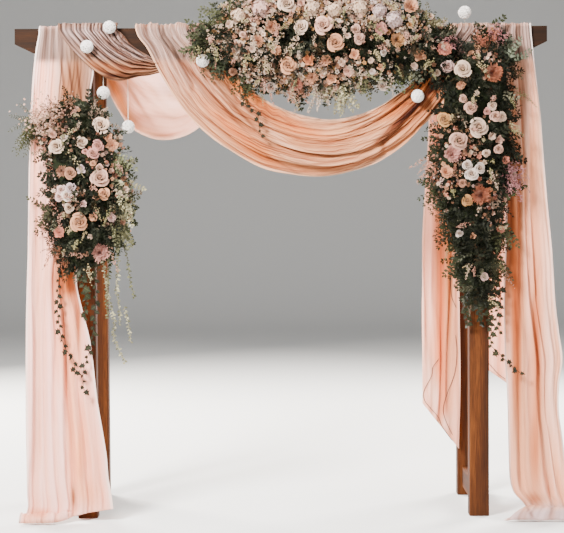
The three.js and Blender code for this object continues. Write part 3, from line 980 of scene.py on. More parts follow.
def swag_net(low: tuple[Row, ...], high: tuple[Row, ...], y: Array | float, shares: Row, belly: float) -> Array:
    """A net between a swag's lower and upper edges.

    Args:
        low, high: as many (x, z) stations of the lower and the upper edge.
        y: each row's place in depth.
        shares: where each column lies between the edges.
        belly: how far the middle stands forward halfway along.

    Returns:
        Rows by columns by 3.
    """
    share = np.array(shares)[None, :, None]
    flat = np.array(low, float)[:, None] * (1 - share) + np.array(high, float)[:, None] * share
    swell = np.sin(np.linspace(0, math.pi, len(low)))[:, None] ** 2 * np.sin(math.pi * share[..., 0])
    depth = np.broadcast_to(y, len(low))[:, None] - belly * swell
    return np.stack([flat[..., 0], depth, flat[..., 1]], -1) / 1000


@dataclass
class Drapery:
    """All the chiffon: the scarves over the top, the swags and the panels on the rear beam.

    Cloth lies on the beams in an inner and an outer layer, at y = `inner` and `outer` in front of them
    and as far behind, and `top` above. The legs are (x of the left edge, x of the right edge, height)
    rows, and the swags' lower and upper edges (x, z) rows from left to right.
    """

    made: dict[str, Cloth] = field(default_factory=dict)
    inner: float = -387.5
    outer: float = -413.0
    top: float = 2258.5
    rear_face: float = 326.0
    both_beams: tuple[str, ...] = ("front_beam", "rear_beam")

    left_leg: tuple[Row, ...] = (
        (-1101, -880, 2225), (-1116, -858, 2150), (-1128, -852, 2060), (-1136, -868, 1960), (-1146, -884, 1780),
        (-1154, -900, 1600), (-1160, -912, 1400), (-1164, -928, 1220), (-1168, -940, 1090), (-1171, -915, 960),
        (-1173, -886, 835), (-1175, -870, 700), (-1177, -856, 560), (-1179, -835, 430), (-1180, -817, 310),
        (-1181, -808, 200))
    right_leg: tuple[Row, ...] = (
        (977, 1135, 2225), (985, 1143, 2150), (996, 1155, 2040), (1006, 1176, 1866), (1013, 1190, 1680),
        (1012, 1206, 1460), (1008, 1222, 1240), (1003, 1239, 1004), (1008, 1260, 850), (1012, 1276, 730),
        (1020, 1262, 620), (1025, 1260, 500), (1027, 1275, 380), (1029, 1290, 250), (1033, 1302, 180))
    main_low: tuple[Row, ...] = (
        (-642, 2208), (-604, 2160), (-535, 2035), (-436, 1885), (-346, 1794), (-233, 1707), (-89, 1625),
        (38, 1590), (174, 1574), (287, 1594), (410, 1644), (537, 1725), (628, 1806), (700, 1885), (775, 1980),
        (860, 2100), (935, 2190), (975, 2240))
    main_high: tuple[Row, ...] = (
        (-285, 2215), (-262, 2186), (-235, 2132), (-200, 2065), (-155, 2005), (-105, 1955), (-50, 1915),
        (20, 1880), (100, 1852), (220, 1832), (350, 1852), (450, 1893), (535, 1950), (592, 1996), (640, 2062),
        (690, 2135), (735, 2195), (765, 2240))
    corner_low: tuple[Row, ...] = (
        (-1006, 2238), (-985, 2205), (-932, 2141), (-865, 2077), (-797, 2036), (-738, 2023), (-661, 2040),
        (-593, 2049), (-535, 2066), (-487, 2120), (-458, 2200))
    corner_high: tuple[Row, ...] = (
        (-738, 2240), (-720, 2226), (-700, 2203), (-678, 2180), (-656, 2162), (-625, 2140), (-593, 2121),
        (-552, 2106), (-505, 2118), (-440, 2175), (-395, 2225))
    rear_low: tuple[Row, ...] = (
        (-872, 2236), (-882, 2150), (-868, 2050), (-832, 1965), (-775, 1866), (-708, 1800), (-634, 1768),
        (-565, 1762), (-505, 1771), (-445, 1797), (-385, 1845), (-330, 1935), (-290, 2050), (-270, 2160),
        (-262, 2236))
    hem_radius: float = 0.0017
    hem_in_front: float = 0.002
    hem_brown: Colour = (28, 21, 19)

    def over_the_top(self, left: float, right: float, foot: float, sag: float) -> list[Row]:
        """Stations up the rear tail and forward over both beams to the front beam's face.

        Args:
            left, right: x of the cloth's two edges on the beams.
            foot: height of the tail's lower end.
            sag: how far the cloth sinks between the beams.

        Returns:
            Rows for edge_net.
        """
        top, back = self.top, -self.inner
        return [(left + less, right - less, y, z) for less, y, z in (
            (-6, back + 18, foot), (-3, back + 16, foot + 120), (3, back + 6, 2080), (0, back, 2200),
            (0, back - 1, 2245), (0, back - 12, top), (0, 338, top), (0, 200, top - 0.7 * sag), (0, 0, top - sag),
            (0, -200, top - 0.7 * sag), (0, -338, top), (0, 12 - back, top), (0, 1 - back, 2245))]

    def down_the_leg(self, leg: tuple[Row, ...]) -> list[Row]:
        """Stations down the front of one leg, each further forward than the one above it.

        Args:
            leg: (x of the left edge, x of the right edge, height) rows.

        Returns:
            Rows for edge_net.
        """
        return [(a, b, float(np.interp(z, (0, 1900, 2100, 2300), (-402, -398, -388.5, self.inner))), z)
                for a, b, z in leg]

    def left_scarf(self) -> Cloth:
        """The left scarf: rear tail, over both beams, down the left leg and into a pool.

        Returns:
            The cloth, not built yet.
        """
        shares = (0.0, 0.14, 0.3, 0.42, 0.54, 0.7, 0.86, 1.0)
        net = edge_net(self.over_the_top(-1100, -880, 1420, 10) + self.down_the_leg(self.left_leg), shares)
        pooled = np.array([1, 1, 1, 0.85, 0.30, 0, 0, 0])
        raised_hem = np.interp(np.linspace(-1200, -786, 8), (-980, -790), (24, 56))
        pool = []
        for left, y, z, share in ((-1180, -404, 130, 0.33), (-1176, -408, 70, 0.6), (-1184, -428, 24, 0.76),
                                  (-1192, -452, 13, 0.84), (-1198, -466, 40, 0.90), (-1203, -482, 36, 0.95),
                                  (-1206, -492, 7, 1.0)):
            hung_z = 200 + (raised_hem - 200) * share
            x = np.interp(shares, (0, 1), (left, -806 + 22 * share))
            pool.append(np.stack([x, -403 + (y + 403) * pooled, hung_z + (z - hung_z) * pooled], -1) / 1000)
        dark_fold = (30, 19, 13)
        folds = (
            Pleats(5.2, ((0, 20), (16, 8), (20, 4), (42, 4), (47, 8), (56, 17), (93, 22), (100, 10)), 11,
                   lean=0.5, wander=0.9, uneven=0.75, sharp=0.2),
            Pleats(2.4, ((0, 0), (50, 0), (58, 16), (93, 24), (100, 6)), 14,
                   lean=0, wander=0.6, uneven=0.4, shows=0.7, sharp=0.2),
            Pleats(17, ((0, 4), (16, 4), (42, 3), (47, 5), (55, 3), (62, 1.2), (94, 1.4), (97, 7), (100, 6)), 12,
                   lean=0.4, shows=0.25))
        dye = Dye(
            (100, 89, 86.5), (92, 69, 58), base=0.50, crisp=0.20, mottle=0.05,
            stains=marks(
                (-985, 1120, 85, 170, 0.9), (-1000, 780, 35, 300, 0.3), (-975, 500, 22, 200, 0.4),
                (-925, 900, 25, 160, 0.4), (-860, 200, 50, 160, 0.25), (-1070, 2000, 30, 120, 0.35)),
            shades=marks(
                (-930, 2010, 70, 240, 1.0, (50, 36, 26)), (-1062, 2170, 12, 70, 0.8, (52, 43, 40)),
                (-998, 2170, 16, 80, 0.8, (50, 41, 38)), (-1030, 2160, 7, 70, 0.8, (88, 80, 77)),
                (-885, 2030, 22, 140, 0.8, (50, 40, 34)), (-982, 1900, 30, 140, 0.9, (52, 34, 21)),
                (-955, 2020, 6, 120, 0.9, dark_fold, 8), (-915, 1980, 6, 140, 0.9, dark_fold, 6),
                (-993, 2050, 6, 100, 0.8, (36, 24, 17), 6), (-930, 920, 12, 130, 0.8, (66, 44, 31)),
                (-985, 1100, 55, 90, 1.15, (70, 42, 22)), (-990, 850, 50, 220, 0.55, (96, 70, 55)),
                (-962, 500, 18, 260, 0.5, (95, 70, 55)), (-925, 380, 45, 200, 0.45, (98, 76, 62)),
                (-935, 260, 24, 150, 0.6, (96, 71, 54)), (-900, 130, 50, 60, 0.5, (95, 72, 58)),
                (-962, 110, 9, 45, 0.8, (62, 42, 28)), (-1060, 900, 45, 500, 0.45, (100, 84, 81)),
                (-1120, 45, 45, 16, 0.8, (86, 58, 44)), (-1100, 16, 60, 10, 0.8, (66, 44, 34)),
                (-1130, 600, 30, 600, 0.5, (100, 91, 89))))
        creases = (
            Crease(((-960, 50), (-968, 400), (-985, 600), (-1006, 930)), 10, 20),
            Crease(((-925, 740), (-944, 1050)), 8, 10), Crease(((-1120, 300), (-1115, 1950)), 10, 6))
        return Cloth(
            "left_scarf", np.concatenate([net, np.array(pool)]), folds, grid=(320, 104), dye=dye,
            flat=(0.32, 4.1), held="draped", rests_on=self.both_beams,
            replaces=("left_leg_drape", "left_hem_heap", "left_roof_run", "left_rear_tail"), seed=5,
            creases=creases)

    def right_scarf(self) -> Cloth:
        """The right scarf: rear tail, over both beams, down the right leg and out along the ground.

        Returns:
            The cloth, not built yet.
        """
        stations = self.over_the_top(982, 1134, 1300, 10) + self.down_the_leg(self.right_leg) + [
            (1050, 1310, -403, 120), (1092, 1318, -406, 72), (1112, 1326, -420, 28), (1085, 1332, -440, 14),
            (1060, 1337, -458, 48), (1030, 1340, -474, 56), (1004, 1342, -488, 34), (996, 1343, -496, 7)]
        net = edge_net(stations, (0.0, 0.17, 0.34, 0.5, 0.66, 0.83, 1.0))
        net[-4:, :, 2] = np.array(((16, 62, 70, 56, 62, 48, 40), (14, 52, 56, 44, 50, 36, 34),
                                   (10, 30, 30, 22, 26, 16, 18), (6, 10, 10, 7, 9, 6, 6))) / 1000
        orange, rose = (61, 33, 16), (97, 84, 80)
        folds = (
            Pleats(4.1, ((0, 18), (17, 8), (22, 4), (40, 4), (45, 7), (54, 15), (92, 18), (96, 16), (98, 8),
                         (100, 4)), 21, lean=0.5, wander=0.8, uneven=0.6, sharp=0.1),
            Pleats(11, ((0, 4), (17, 4), (40, 6), (45, 6), (56, 3), (90, 2), (95, 3), (100, 2)), 22,
                   lean=0.5, slant=1.5, shows=0.35, sharp=0.2))
        dye = Dye(
            (98, 84, 77), (90, 67, 52), base=0.55, crisp=0.15, mottle=0.05,
            stains=marks(
                (1080, 1450, 50, 350, 0.5), (1085, 600, 45, 400, 0.3), (1030, 1950, 50, 200, 0.5)),
            shades=marks(
                (1025, 1400, 36, 500, 0.9, (48, 30, 21)), (1060, 2020, 50, 120, 0.6, (66, 54, 48)),
                (1100, 1950, 22, 300, 0.9, (58, 46, 40)), (1062, 950, 38, 650, 0.95, orange),
                (1052, 1000, 8, 500, 0.7, (64, 37, 21)), (1122, 800, 12, 500, 0.8, rose),
                (1160, 750, 30, 600, 0.9, (77, 48, 32)), (1150, 300, 30, 200, 0.5, orange),
                (1035, 550, 14, 400, 0.8, (97, 84, 81)), (1215, 800, 28, 800, 0.7, (96, 86, 82)),
                (1180, 1900, 18, 400, 0.9, (100, 92, 87)), (1150, 90, 50, 30, 0.7, (68, 46, 34)),
                (1180, 20, 250, 36, 1.6, (80, 73, 74)), (1120, 40, 6, 40, 0.8, (52, 42, 40), 30),
                (1215, 45, 6, 40, 0.7, (56, 46, 43), -24)))
        creases = (
            Crease(((1222, 100), (1179, 545), (1142, 1003)), 12, 16),
            Crease(((1085, 160), (1070, 500), (1078, 1200), (1075, 1700)), 12, 8))
        return Cloth(
            "right_scarf", net, folds, grid=(320, 96), dye=dye, flat=(0.27, 4.2), held="draped",
            rests_on=self.both_beams,
            replaces=("right_leg_drape", "right_hem_heap", "right_roof_run", "right_rear_tail"), seed=6,
            creases=creases)

    def main_scarf(self) -> Cloth:
        """The main swag: a rear tail, over both beams, and a deep festoon to the right end.

        Returns:
            The cloth, not built yet.
        """
        depth = np.interp(np.arange(18), (0, 2, 12, 17), (self.outer + 12, self.outer, self.outer, self.inner - 4))
        shares = (0.0, 0.2, 0.4, 0.6, 0.8, 1.0)
        golden, tan, pale, dark = (76, 49, 27), (80, 53, 34), (92, 78, 69), (46, 29, 19)
        net = np.concatenate([
            edge_net(self.over_the_top(-655, -300, 2010, 24), shares),
            swag_net(self.main_low, self.main_high, depth, shares, 30),
            edge_net([(978, 766, self.inner + 10, self.top), (980, 768, -362, self.top + 2)], shares)])
        folds = (
            Pleats(3.1, ((0, 12), (12, 6), (29, 4), (36, 8), (45, 24), (62, 34), (80, 28), (93, 12), (100, 3)), 31,
                   lean=-0.7, wander=0.9, uneven=0.5),
            Pleats(8.5, ((0, 4), (12, 4), (29, 4), (36, 9), (45, 16), (62, 17), (80, 15), (93, 8), (100, 3)), 34,
                   lean=-0.6, wander=1.2, uneven=0.8, slant=1.0, shows=1.0),
            Pleats(19, ((0, 3), (12, 3), (29, 3), (38, 7), (50, 8), (62, 6), (80, 8), (93, 6), (100, 3)), 32,
                   lean=-0.4, wander=1.0, uneven=0.8, slant=1.6, shows=0.6),
            Pleats(42, ((0, 0), (30, 2), (45, 2.6), (60, 2), (85, 3), (100, 1)), 33,
                   lean=0, wander=1.0, uneven=0.9, slant=2.0, shows=0.5))
        dye = Dye(
            (79, 62, 50), (54, 35, 22), over_timber=(64, 56, 53), deep=(34, 19, 11), base=0.85, crisp=0.65,
            mottle=0.11, rim_tone=(88, 71, 58),
            stains=marks(
                (-100, 1870, 180, 130, 0.5), (600, 1920, 140, 150, 0.6)),
            shades=marks(
                (-460, 2070, 220, 110, 1.0, (71, 59, 53), -52), (-130, 1930, 200, 35, 0.95, golden, -42),
                (40, 1820, 120, 26, 0.85, tan, -30), (-200, 1770, 220, 34, 0.95, tan, -42),
                (-100, 1690, 70, 26, 0.8, golden, -38), (-100, 1830, 200, 20, 0.8, pale, -42),
                (110, 1775, 140, 22, 0.85, tan, -14), (270, 1770, 100, 20, 0.6, (88, 68, 52), 4),
                (200, 1855, 150, 18, 0.7, pale, 2), (420, 1920, 130, 18, 0.7, pale, 32),
                (520, 1875, 90, 32, 1.0, (74, 49, 28), 34), (650, 1985, 70, 35, 1.0, (72, 48, 27), 46),
                (600, 1790, 160, 35, 0.8, (80, 58, 42), 42), (575, 1858, 170, 13, 1.3, (36, 20, 12), 43),
                (720, 2030, 60, 50, 0.7, (54, 36, 25), 50), (-460, 2110, 120, 7, 0.9, (42, 29, 22), -56),
                (-300, 1930, 200, 6, 0.9, dark, -48), (-220, 1900, 220, 5, 0.9, dark, -48),
                (-380, 2100, 140, 6, 0.8, dark, -54), (-60, 1665, 120, 5, 0.8, dark, -30),
                (250, 1640, 160, 5, 0.6, dark, 8)))
        creases = (
            Crease(((450, 1735), (575, 1858), (700, 1990)), 14, 16),
            Crease(((-390, 2000), (-460, 2110), (-530, 2200)), 8, 8))
        return Cloth(
            "main_swag_scarf", net, folds, grid=(340, 132), dye=dye, flat=(0.45, 3.4), held="draped",
            rests_on=self.both_beams, replaces=("main_swag", "middle_roof_run", "middle_rear_tail"), seed=7,
            creases=creases, wrinkle=0.0024)

    def corner_swag(self) -> Cloth:
        """The short swag at the left end, of many fine pleats, which passes behind the main swag.

        Returns:
            The cloth, not built yet.
        """
        depth = np.interp(np.arange(11), (0, 5, 7, 10), (self.outer, self.outer, self.inner - 10, self.inner))
        shares, top, brown = (0.0, 0.25, 0.5, 0.75, 1.0), self.top, (30, 18, 13)
        net = np.concatenate([
            edge_net([(-1010, -742, -330, top + 12), (-1010, -740, -372, top + 14),
                      (-1009, -739, self.outer + 16, top + 12),
                      (-1008, -738, self.outer + 3, top - 2.5)], shares),
            swag_net(self.corner_low, self.corner_high, depth, shares, 12)])
        folds = (
            Pleats(6.3, ((0, 1), (16, 2), (30, 12), (55, 20), (80, 10), (100, 4)), 41,
                   lean=-0.7, wander=0.5, uneven=0.5, shows=1.2),
            Pleats(15, ((0, 1), (16, 2), (30, 8), (60, 8), (100, 4)), 42,
                   lean=-0.5, wander=0.8, uneven=0.5, shows=1.8))
        dye = Dye(
            (61, 50, 42), (25, 15, 9), over_timber=(56, 47, 44), timber_valley=(10, 6, 4.5), deep=(24, 13, 8),
            base=1.1, crisp=1.0, mottle=0.18, rim=0.8, rim_tone=(34, 23, 16),
            shades=marks(
                (-760, 2065, 130, 22, 0.9, (60, 43, 30), -10), (-870, 2120, 80, 22, 0.8, (62, 45, 34), -38),
                (-900, 2230, 120, 30, 0.6, (80, 73, 73)), (-745, 2030, 85, 12, 1.2, (28, 17, 10), 2),
                (-620, 2075, 90, 30, 0.8, (48, 34, 26), 8), (-720, 2135, 100, 7, 0.9, brown, -34),
                (-800, 2130, 120, 6, 0.9, brown, -40), (-760, 2165, 90, 5, 0.8, brown, -44)))
        return Cloth(
            "left_corner_swag_scarf", net, folds, grid=(150, 150), dye=dye, flat=(0.28, 0.80), held="gathered",
            rests_on=("front_beam",), replaces=("left_corner_swag",), seed=8)

    def rear_swag(self) -> Cloth:
        """The smooth swag stapled along the rear beam's inner face.

        Returns:
            The cloth, not built yet.
        """
        net = swag_net(self.rear_low, tuple((x, 2245) for x in np.linspace(-856, -268, len(self.rear_low))),
                       self.rear_face, (0.0, 0.3, 0.65, 1.0), 4)
        folds = (
            Pleats(3.6, ((0, 3), (30, 16), (70, 16), (100, 3)), 51, lean=-0.3, wander=0.7),
            Pleats(10, ((0, 2), (30, 6), (70, 5), (100, 2)), 53,
                   lean=-0.3, wander=1.2, uneven=0.9, slant=0.8, shows=0.6),
            Pleats(24, ((0, 1), (50, 1.6), (100, 1)), 52, uneven=0.8, shows=0.3))
        dye = Dye(
            (100, 92, 90.5), (97, 78, 68), over_timber=(84, 74, 69), deep=(88, 64, 50), base=0.55, crisp=0.6,
            mottle=0.08, rim=0.9,
            shades=marks(
                (-820, 2020, 170, 30, 0.9, (98, 70, 46), -66), (-755, 1880, 100, 26, 0.65, (98, 76, 57), -50),
                (-785, 2100, 70, 30, 0.7, (93, 64, 43), -60), (-650, 1800, 110, 30, 0.7, (98, 82, 70), -22),
                (-720, 1970, 130, 9, 0.7, (88, 65, 51), -58), (-620, 1930, 140, 7, 0.5, (86, 69, 60), -40),
                (-560, 1880, 120, 6, 0.4, (86, 70, 62), -20), (-560, 1950, 100, 110, 0.7, (100, 95, 94.5))))
        return Cloth(
            "rear_left_swag_scarf", net, folds, grid=(96, 72), dye=dye, flat=(0.62, 0.75), held="gathered",
            rests_on=("rear_beam",), replaces=("rear_left_swag",), seed=9, at_rear=True, area=0.30)

    def rear_panel(self, name: str, stations: list[Row], flat: Row, node: str, seed: int) -> Cloth:
        """A loose panel that hangs on the rear beam's inner face.

        Args:
            name: the piece's name.
            stations: rows for edge_net, from the top down.
            flat: its width and length in metres.
            node: the node that it stands for.
            seed: its folds and streaks.

        Returns:
            The cloth, not built yet.
        """
        white = (100, 95, 94)
        dye = Dye(
            (100, 88, 83), (90, 68, 56), over_timber=(75, 62, 56), base=0.6, crisp=0.3, mottle=0.08, rim=0.5,
            shades=marks(
                (775, 1000, 30, 900, 0.9, (86, 50, 30)), (818, 1150, 20, 550, 1.0, (68, 41, 22)),
                (850, 750, 22, 300, 0.7, (95, 76, 64)), (706, 1100, 16, 900, 0.8, (100, 88, 84)),
                (742, 490, 26, 100, 0.95, white), (800, 360, 30, 50, 0.9, white), (715, 620, 20, 90, 0.8, white)))
        folds = (
            Pleats(3.3, ((0, 3), (20, 10), (55, 16), (100, 20)), seed,
                   lean=0.3, wander=0.45, uneven=0.4, sharp=0.2),
            Pleats(9, ((0, 3), (40, 2.5), (100, 2)), seed + 1,
                   lean=0, wander=0.7, uneven=0.7, shows=0.4, sharp=0.2))
        return Cloth(
            name, edge_net(stations, (0.0, 0.25, 0.5, 0.75, 1.0)), folds, grid=(130, 48), dye=dye, flat=flat,
            held="hung", rests_on=("rear_beam",), replaces=(node,), seed=seed, at_rear=True)

    def rear_panels(self) -> tuple[Cloth, Cloth]:
        """The two loose panels, whose lowest rows slant down to the right.

        Returns:
            The inner and the outer one.
        """
        face = self.rear_face
        return (
            self.rear_panel("rear_right_panel", [
                (740, 848, face, 2240), (730, 848, face - 4, 2080), (722, 848, 300, 1800), (700, 850, 240, 1500),
                (684, 860, 215, 1250), (679, 866, 206, 1000), (679, 868, 204, 800), (679, 868, 204, 600, 500),
                (680, 862, 204, 466, 236)], (0.17, 1.86), "rear_right_drape", 61),
            self.rear_panel("rear_right_outer_panel", [
                (967, 1100, face, 2240), (964, 1104, face - 4, 1800), (962, 1106, face - 10, 1200),
                (960, 1109, face - 12, 900), (958, 1112, face - 12, 720, 650), (957, 1113, face - 12, 655, 545)],
                (0.16, 1.66), "rear_right_outer_drape", 71))

    def build(self) -> None:
        """Makes every cloth, and the rolled hems of the two rear panels."""
        plain = ChiffonFinish("chiffon").material()
        pleated = ChiffonFinish("pleated_chiffon", streaks=0.60).material()
        pale = ChiffonFinish("pale_chiffon", (100, 86, 78), 0.42).material()
        inner_panel, outer_panel = self.rear_panels()
        for cloth, finish in ((self.left_scarf(), plain), (self.right_scarf(), plain), (self.main_scarf(), pleated),
                              (self.corner_swag(), pleated), (self.rear_swag(), pale), (inner_panel, pale),
                              (outer_panel, pale)):
            cloth.build(finish)
            self.made[cloth.name] = cloth
        self.hem_lines(pale)

    def hem_lines(self, finish: Material) -> None:
        """The rear panels' rolled hems: thin brown cords 2 mm in front of the cloth, along (x, z) points.

        Y = the least y of the nearest cloth points on five steps of the line, smoothed over three.

        Args:
            finish: their material.
        """
        inner, outer = "rear_right_panel", "rear_right_outer_panel"
        lines = ((inner, ((766, 684), (734, 637), (729, 599), (696, 536), (687, 505), (694, 474), (723, 437),
                          (761, 392), (776, 352), (829, 275))),
                 (inner, ((846, 801), (852, 716), (841, 609), (798, 492), (784, 428), (799, 370), (833, 300))),
                 (inner, ((826, 1151), (826, 992), (850, 928))),
                 (outer, ((970, 700), (1025, 640), (1068, 592), (1104, 566))))
        cords = []
        for name, line in lines:
            cloth, knots = self.made[name].points.reshape(-1, 3), np.array(line) / 1000
            x, z = curve(knots, np.linspace(0, run(knots)[-1], 40)).T
            near = np.argmin((cloth[None, :, 0] - x[:, None]) ** 2 + (cloth[None, :, 2] - z[:, None]) ** 2, axis=1)
            front = np.lib.stride_tricks.sliding_window_view(np.pad(cloth[near, 1], 3, mode="edge"), 5).min(1)
            y = np.convolve(front, np.ones(3) / 3, "valid") - self.hem_in_front
            cords.append(tube(np.stack([x, y, z], -1), self.hem_radius, 5, linear(self.hem_brown)))
        make_piece("rear_panel_hems", Patch.joined(cords), finish)


# ---------------------------------------------------------------- flowers and leaves


class Bloom(Enum):
    """The kinds of silk flower."""

    ROSE = "rose"
    MUM = "chrysanthemum"
    CARNATION = "carnation"
    HYDRANGEA = "hydrangea"
    LOOSE = "loose"


class Petal(Enum):
    """Petal colours."""

    WHITE = (96, 93, 90)
    CREAM = (94, 86, 78)
    BLUSH = (92, 76, 69)
    PALEPINK = (93, 81, 80)
    PINK = (87, 65, 62)
    PEACH = (92, 70, 55)
    ORANGE = (86, 56, 38)
    CORAL = (87, 58, 50)
    COPPER = (70, 42, 30)
    OCHRE = (82, 64, 42)
    TAN = (74, 56, 46)
    LILAC = (86, 80, 83)


class Stem(Enum):
    """The kinds of loose stem: narrow leaves, oval leaves, feathery buds, a cloud of tiny flowers."""

    FERN = "fern"
    LEAFY = "leafy"
    PLUME = "plume"
    FILLER = "filler"


ROSE, MUM, CARNATION, HYDRANGEA, LOOSE = Bloom
WHITE, CREAM, BLUSH, PALEPINK, PINK, PEACH, ORANGE, CORAL, COPPER, OCHRE, TAN, LILAC = Petal
FERN, LEAFY, PLUME, FILLER = Stem

# How wide sprigs and leaves are, as shares of their forms' own width.
LEAF_WIDTHS = (0.75, 1.3)


def petal_grid(rows: int, columns: int) -> tuple[Array, Array]:
    """Places on a petal: b from 0 at its base to 1 at its tip, a from -1 to 1 across."""
    return np.meshgrid(np.linspace(0, 1, rows), np.linspace(-1, 1, columns), indexing="ij")


def set_round(out: Array, across: Array | float, height: Array, angle: Array | float, tints: Row, b: Array,
              a: Array, turned: bool = False) -> Patch:
    """A grid set round Z: (x, y) = out * (cos angle, sin angle) + across * (-sin angle, cos angle).

    Args:
        out, across, height: each point's place before it is turned.
        angle: how far it is turned.
        tints: red, green and blue arrays.
        b, a: places along and across, -1 to 1 across.
        turned: faces look the other way.

    Returns:
        The patch.
    """
    points = np.stack(np.broadcast_arrays(out * np.cos(angle) - across * np.sin(angle),
                                          out * np.sin(angle) + across * np.cos(angle), height), -1)
    return Patch.grid(points, np.clip(np.stack(np.broadcast_arrays(*tints), -1), 0, 1.07),
                      np.stack([(a + 1) / 2, b], -1), turned=turned)


def rose_form(seed: int, petals: int = 16) -> Patch:
    """A garden rose of radius 1 that faces +Z: petals in a spiral, each tucked under the one before it.

    Petal k stands at the golden angle * k, t = k / (petals - 1). Its rim's radius = 0.10 + 0.80 t^0.8,
    and it wraps the heart by 1.25 - 0.50 t radians to each side, one side further out than the other. Its
    height = (0.86 - 0.52 t^1.2) * b^0.75, less where the rim rolls out past b = 0.7.

    Args:
        seed: which rose.
        petals: how many.

    Returns:
        The form, deep in tone inside each petal and pale at its rim, with a closed bud at its heart.
    """
    draw = np.random.default_rng(seed)
    b, a = petal_grid(6, 6)
    past = np.clip((b - 0.70) / 0.30, 0, 1) ** 2
    parts = []
    for k in range(petals):
        t = k / (petals - 1)
        middle = k * GOLDEN_ANGLE + draw.uniform(-0.2, 0.2)
        half = (1.25 - 0.50 * t) * (0.62 + 0.38 * b ** 0.5) * draw.uniform(0.92, 1.08)
        reach = (0.10 + 0.80 * t ** 0.8) * draw.uniform(0.95, 1.05)
        radius = reach * (0.55 + 0.45 * b ** 1.2) * (1 - 0.13 * t * a * a * b) + 0.09 * a * reach * b
        cup = (0.86 - 0.52 * t ** 1.2) * draw.uniform(0.95, 1.05)
        height = cup * b ** 0.75 * (1 - 0.16 * a * a) - (0.05 + 0.16 * t) * past
        tone = (0.24 + 0.76 * smooth_step(b, 0.50, 1.0)) * (0.86 + 0.14 * t) * draw.uniform(0.88, 1.06)
        rosy = 0.22 * (1 - t) + 0.14 * (1 - b)
        parts.append(set_round(radius + (0.02 + 0.13 * t) * past, 0, height, middle + a * half,
                               (tone, tone * (1 - 0.5 * rosy), tone * (1 - rosy)), b, a))
    b, a = petal_grid(6, 10)
    turn = math.pi * (a + 1)
    radius = 0.13 * np.cos(0.5 * math.pi * b) * (1 + 0.16 * np.cos(3 * turn + 5 * b)) + 0.001
    tone = 0.62 + 0.20 * np.cos(3 * turn + 5 * b)
    parts.append(set_round(radius, 0, 0.30 + 0.55 * np.sqrt(b), turn + 2 * b,
                           (tone, tone * 0.84, tone * 0.72), b, a, turned=True))
    return Patch.joined(parts)


def star_form(seed: int, petals: int, length: float, width: float, cup: float, frill: float = 0.0,
              inner_low: float = 0.25, mixed: float = 0.24) -> Patch:
    """A flower of many narrow petals set in a spiral, of radius about 1, that faces +Z.

    Petal k leans out by 84 degrees * sqrt(t), t = (k + 0.5) / petals. Along it, point = (b * length)
    outwards along the lean, curling up by cup * b^2, and half width = width * (0.25 + a sine of b).

    Args:
        seed: which flower.
        petals: how many petals.
        length, width: the outer petals' length and half width.
        cup: how far the tips curl in.
        frill: how far the tips zigzag.
        inner_low: share of the length that the innermost petals have.
        mixed: how much the petals' tones differ.

    Returns:
        The form.
    """
    draw = np.random.default_rng(seed)
    b, a = petal_grid(4, 5 if frill else 3)
    across = width * a * (0.25 + np.sin(math.pi * np.clip(b * 0.82 + 0.1, 0, 1)))
    parts = []
    for k in range(petals):
        t = (k + 0.5) / petals
        lean = math.radians(84) * math.sqrt(t) * draw.uniform(0.86, 1.08)
        out = length * (inner_low + (1 - inner_low) * t ** 0.6) * draw.uniform(0.98 - 0.5 * mixed, 1.08) * b
        curl = cup * b * b * (1 - 0.4 * t) * min(1.0, 3 * t)
        wave = frill * np.sign(np.sin(a * 9 + k)) * b ** 3
        radial = out * math.sin(lean) - curl * math.cos(lean) * 0.6 + wave * 0.5
        height = out * math.cos(lean) * 0.72 + curl * math.sin(lean) + 0.12 * width * (a * a) + wave
        tone = (0.84 + 0.16 * t) * (0.46 + 0.60 * b + 0.38 * (1 - t) ** 2 * (1 - b)) * draw.uniform(
            1 - mixed, 1.0 + 0.5 * mixed)
        parts.append(set_round(radial, across, height, k * GOLDEN_ANGLE,
                               (tone, tone * (0.88 + 0.12 * b), tone * (0.82 + 0.16 * b)), b, a))
    return Patch.joined(parts)


def floret_form(petals: int = 5) -> Patch:
    """A small open flower of radius 1, a shallow cup: petals of four faces about a gold eye.

    Along a petal, height = 0.30 b - 0.22 b^2 + 0.05 a^2, and half width follows a sine of b.

    Args:
        petals: how many.

    Returns:
        The form.
    """
    b, a = petal_grid(3, 3)
    across = a * 0.52 * np.sin(math.pi * (0.12 + 0.74 * b))
    radial, height = 0.08 + 0.92 * b * (1 - 0.12 * a * a), 0.30 * b - 0.22 * b * b + 0.05 * a * a
    tone = 0.70 + 0.32 * b
    return Patch.joined([set_round(radial, across, height, TURN * k / petals,
                                   (tone, tone * (0.90 + 0.1 * b), tone * (0.70 + 0.3 * b)), b, a)
                         for k in range(petals)])


def bud_form(sides: int = 5, rows: int = 4) -> Patch:
    """An oval bud of radius 0.5 and height 1: radius = 0.5 sin(pi b^0.8).

    Args:
        sides: corners of its ring.
        rows: rows of faces from end to end.

    Returns:
        The form.
    """
    b, a = petal_grid(rows + 1, sides + 1)
    radius, tone = 0.5 * np.sin(math.pi * b ** 0.8) + 0.004, 0.75 + 0.25 * b
    return set_round(radius, 0, b, math.pi * (a + 1), (tone,) * 3, b, a, turned=True)


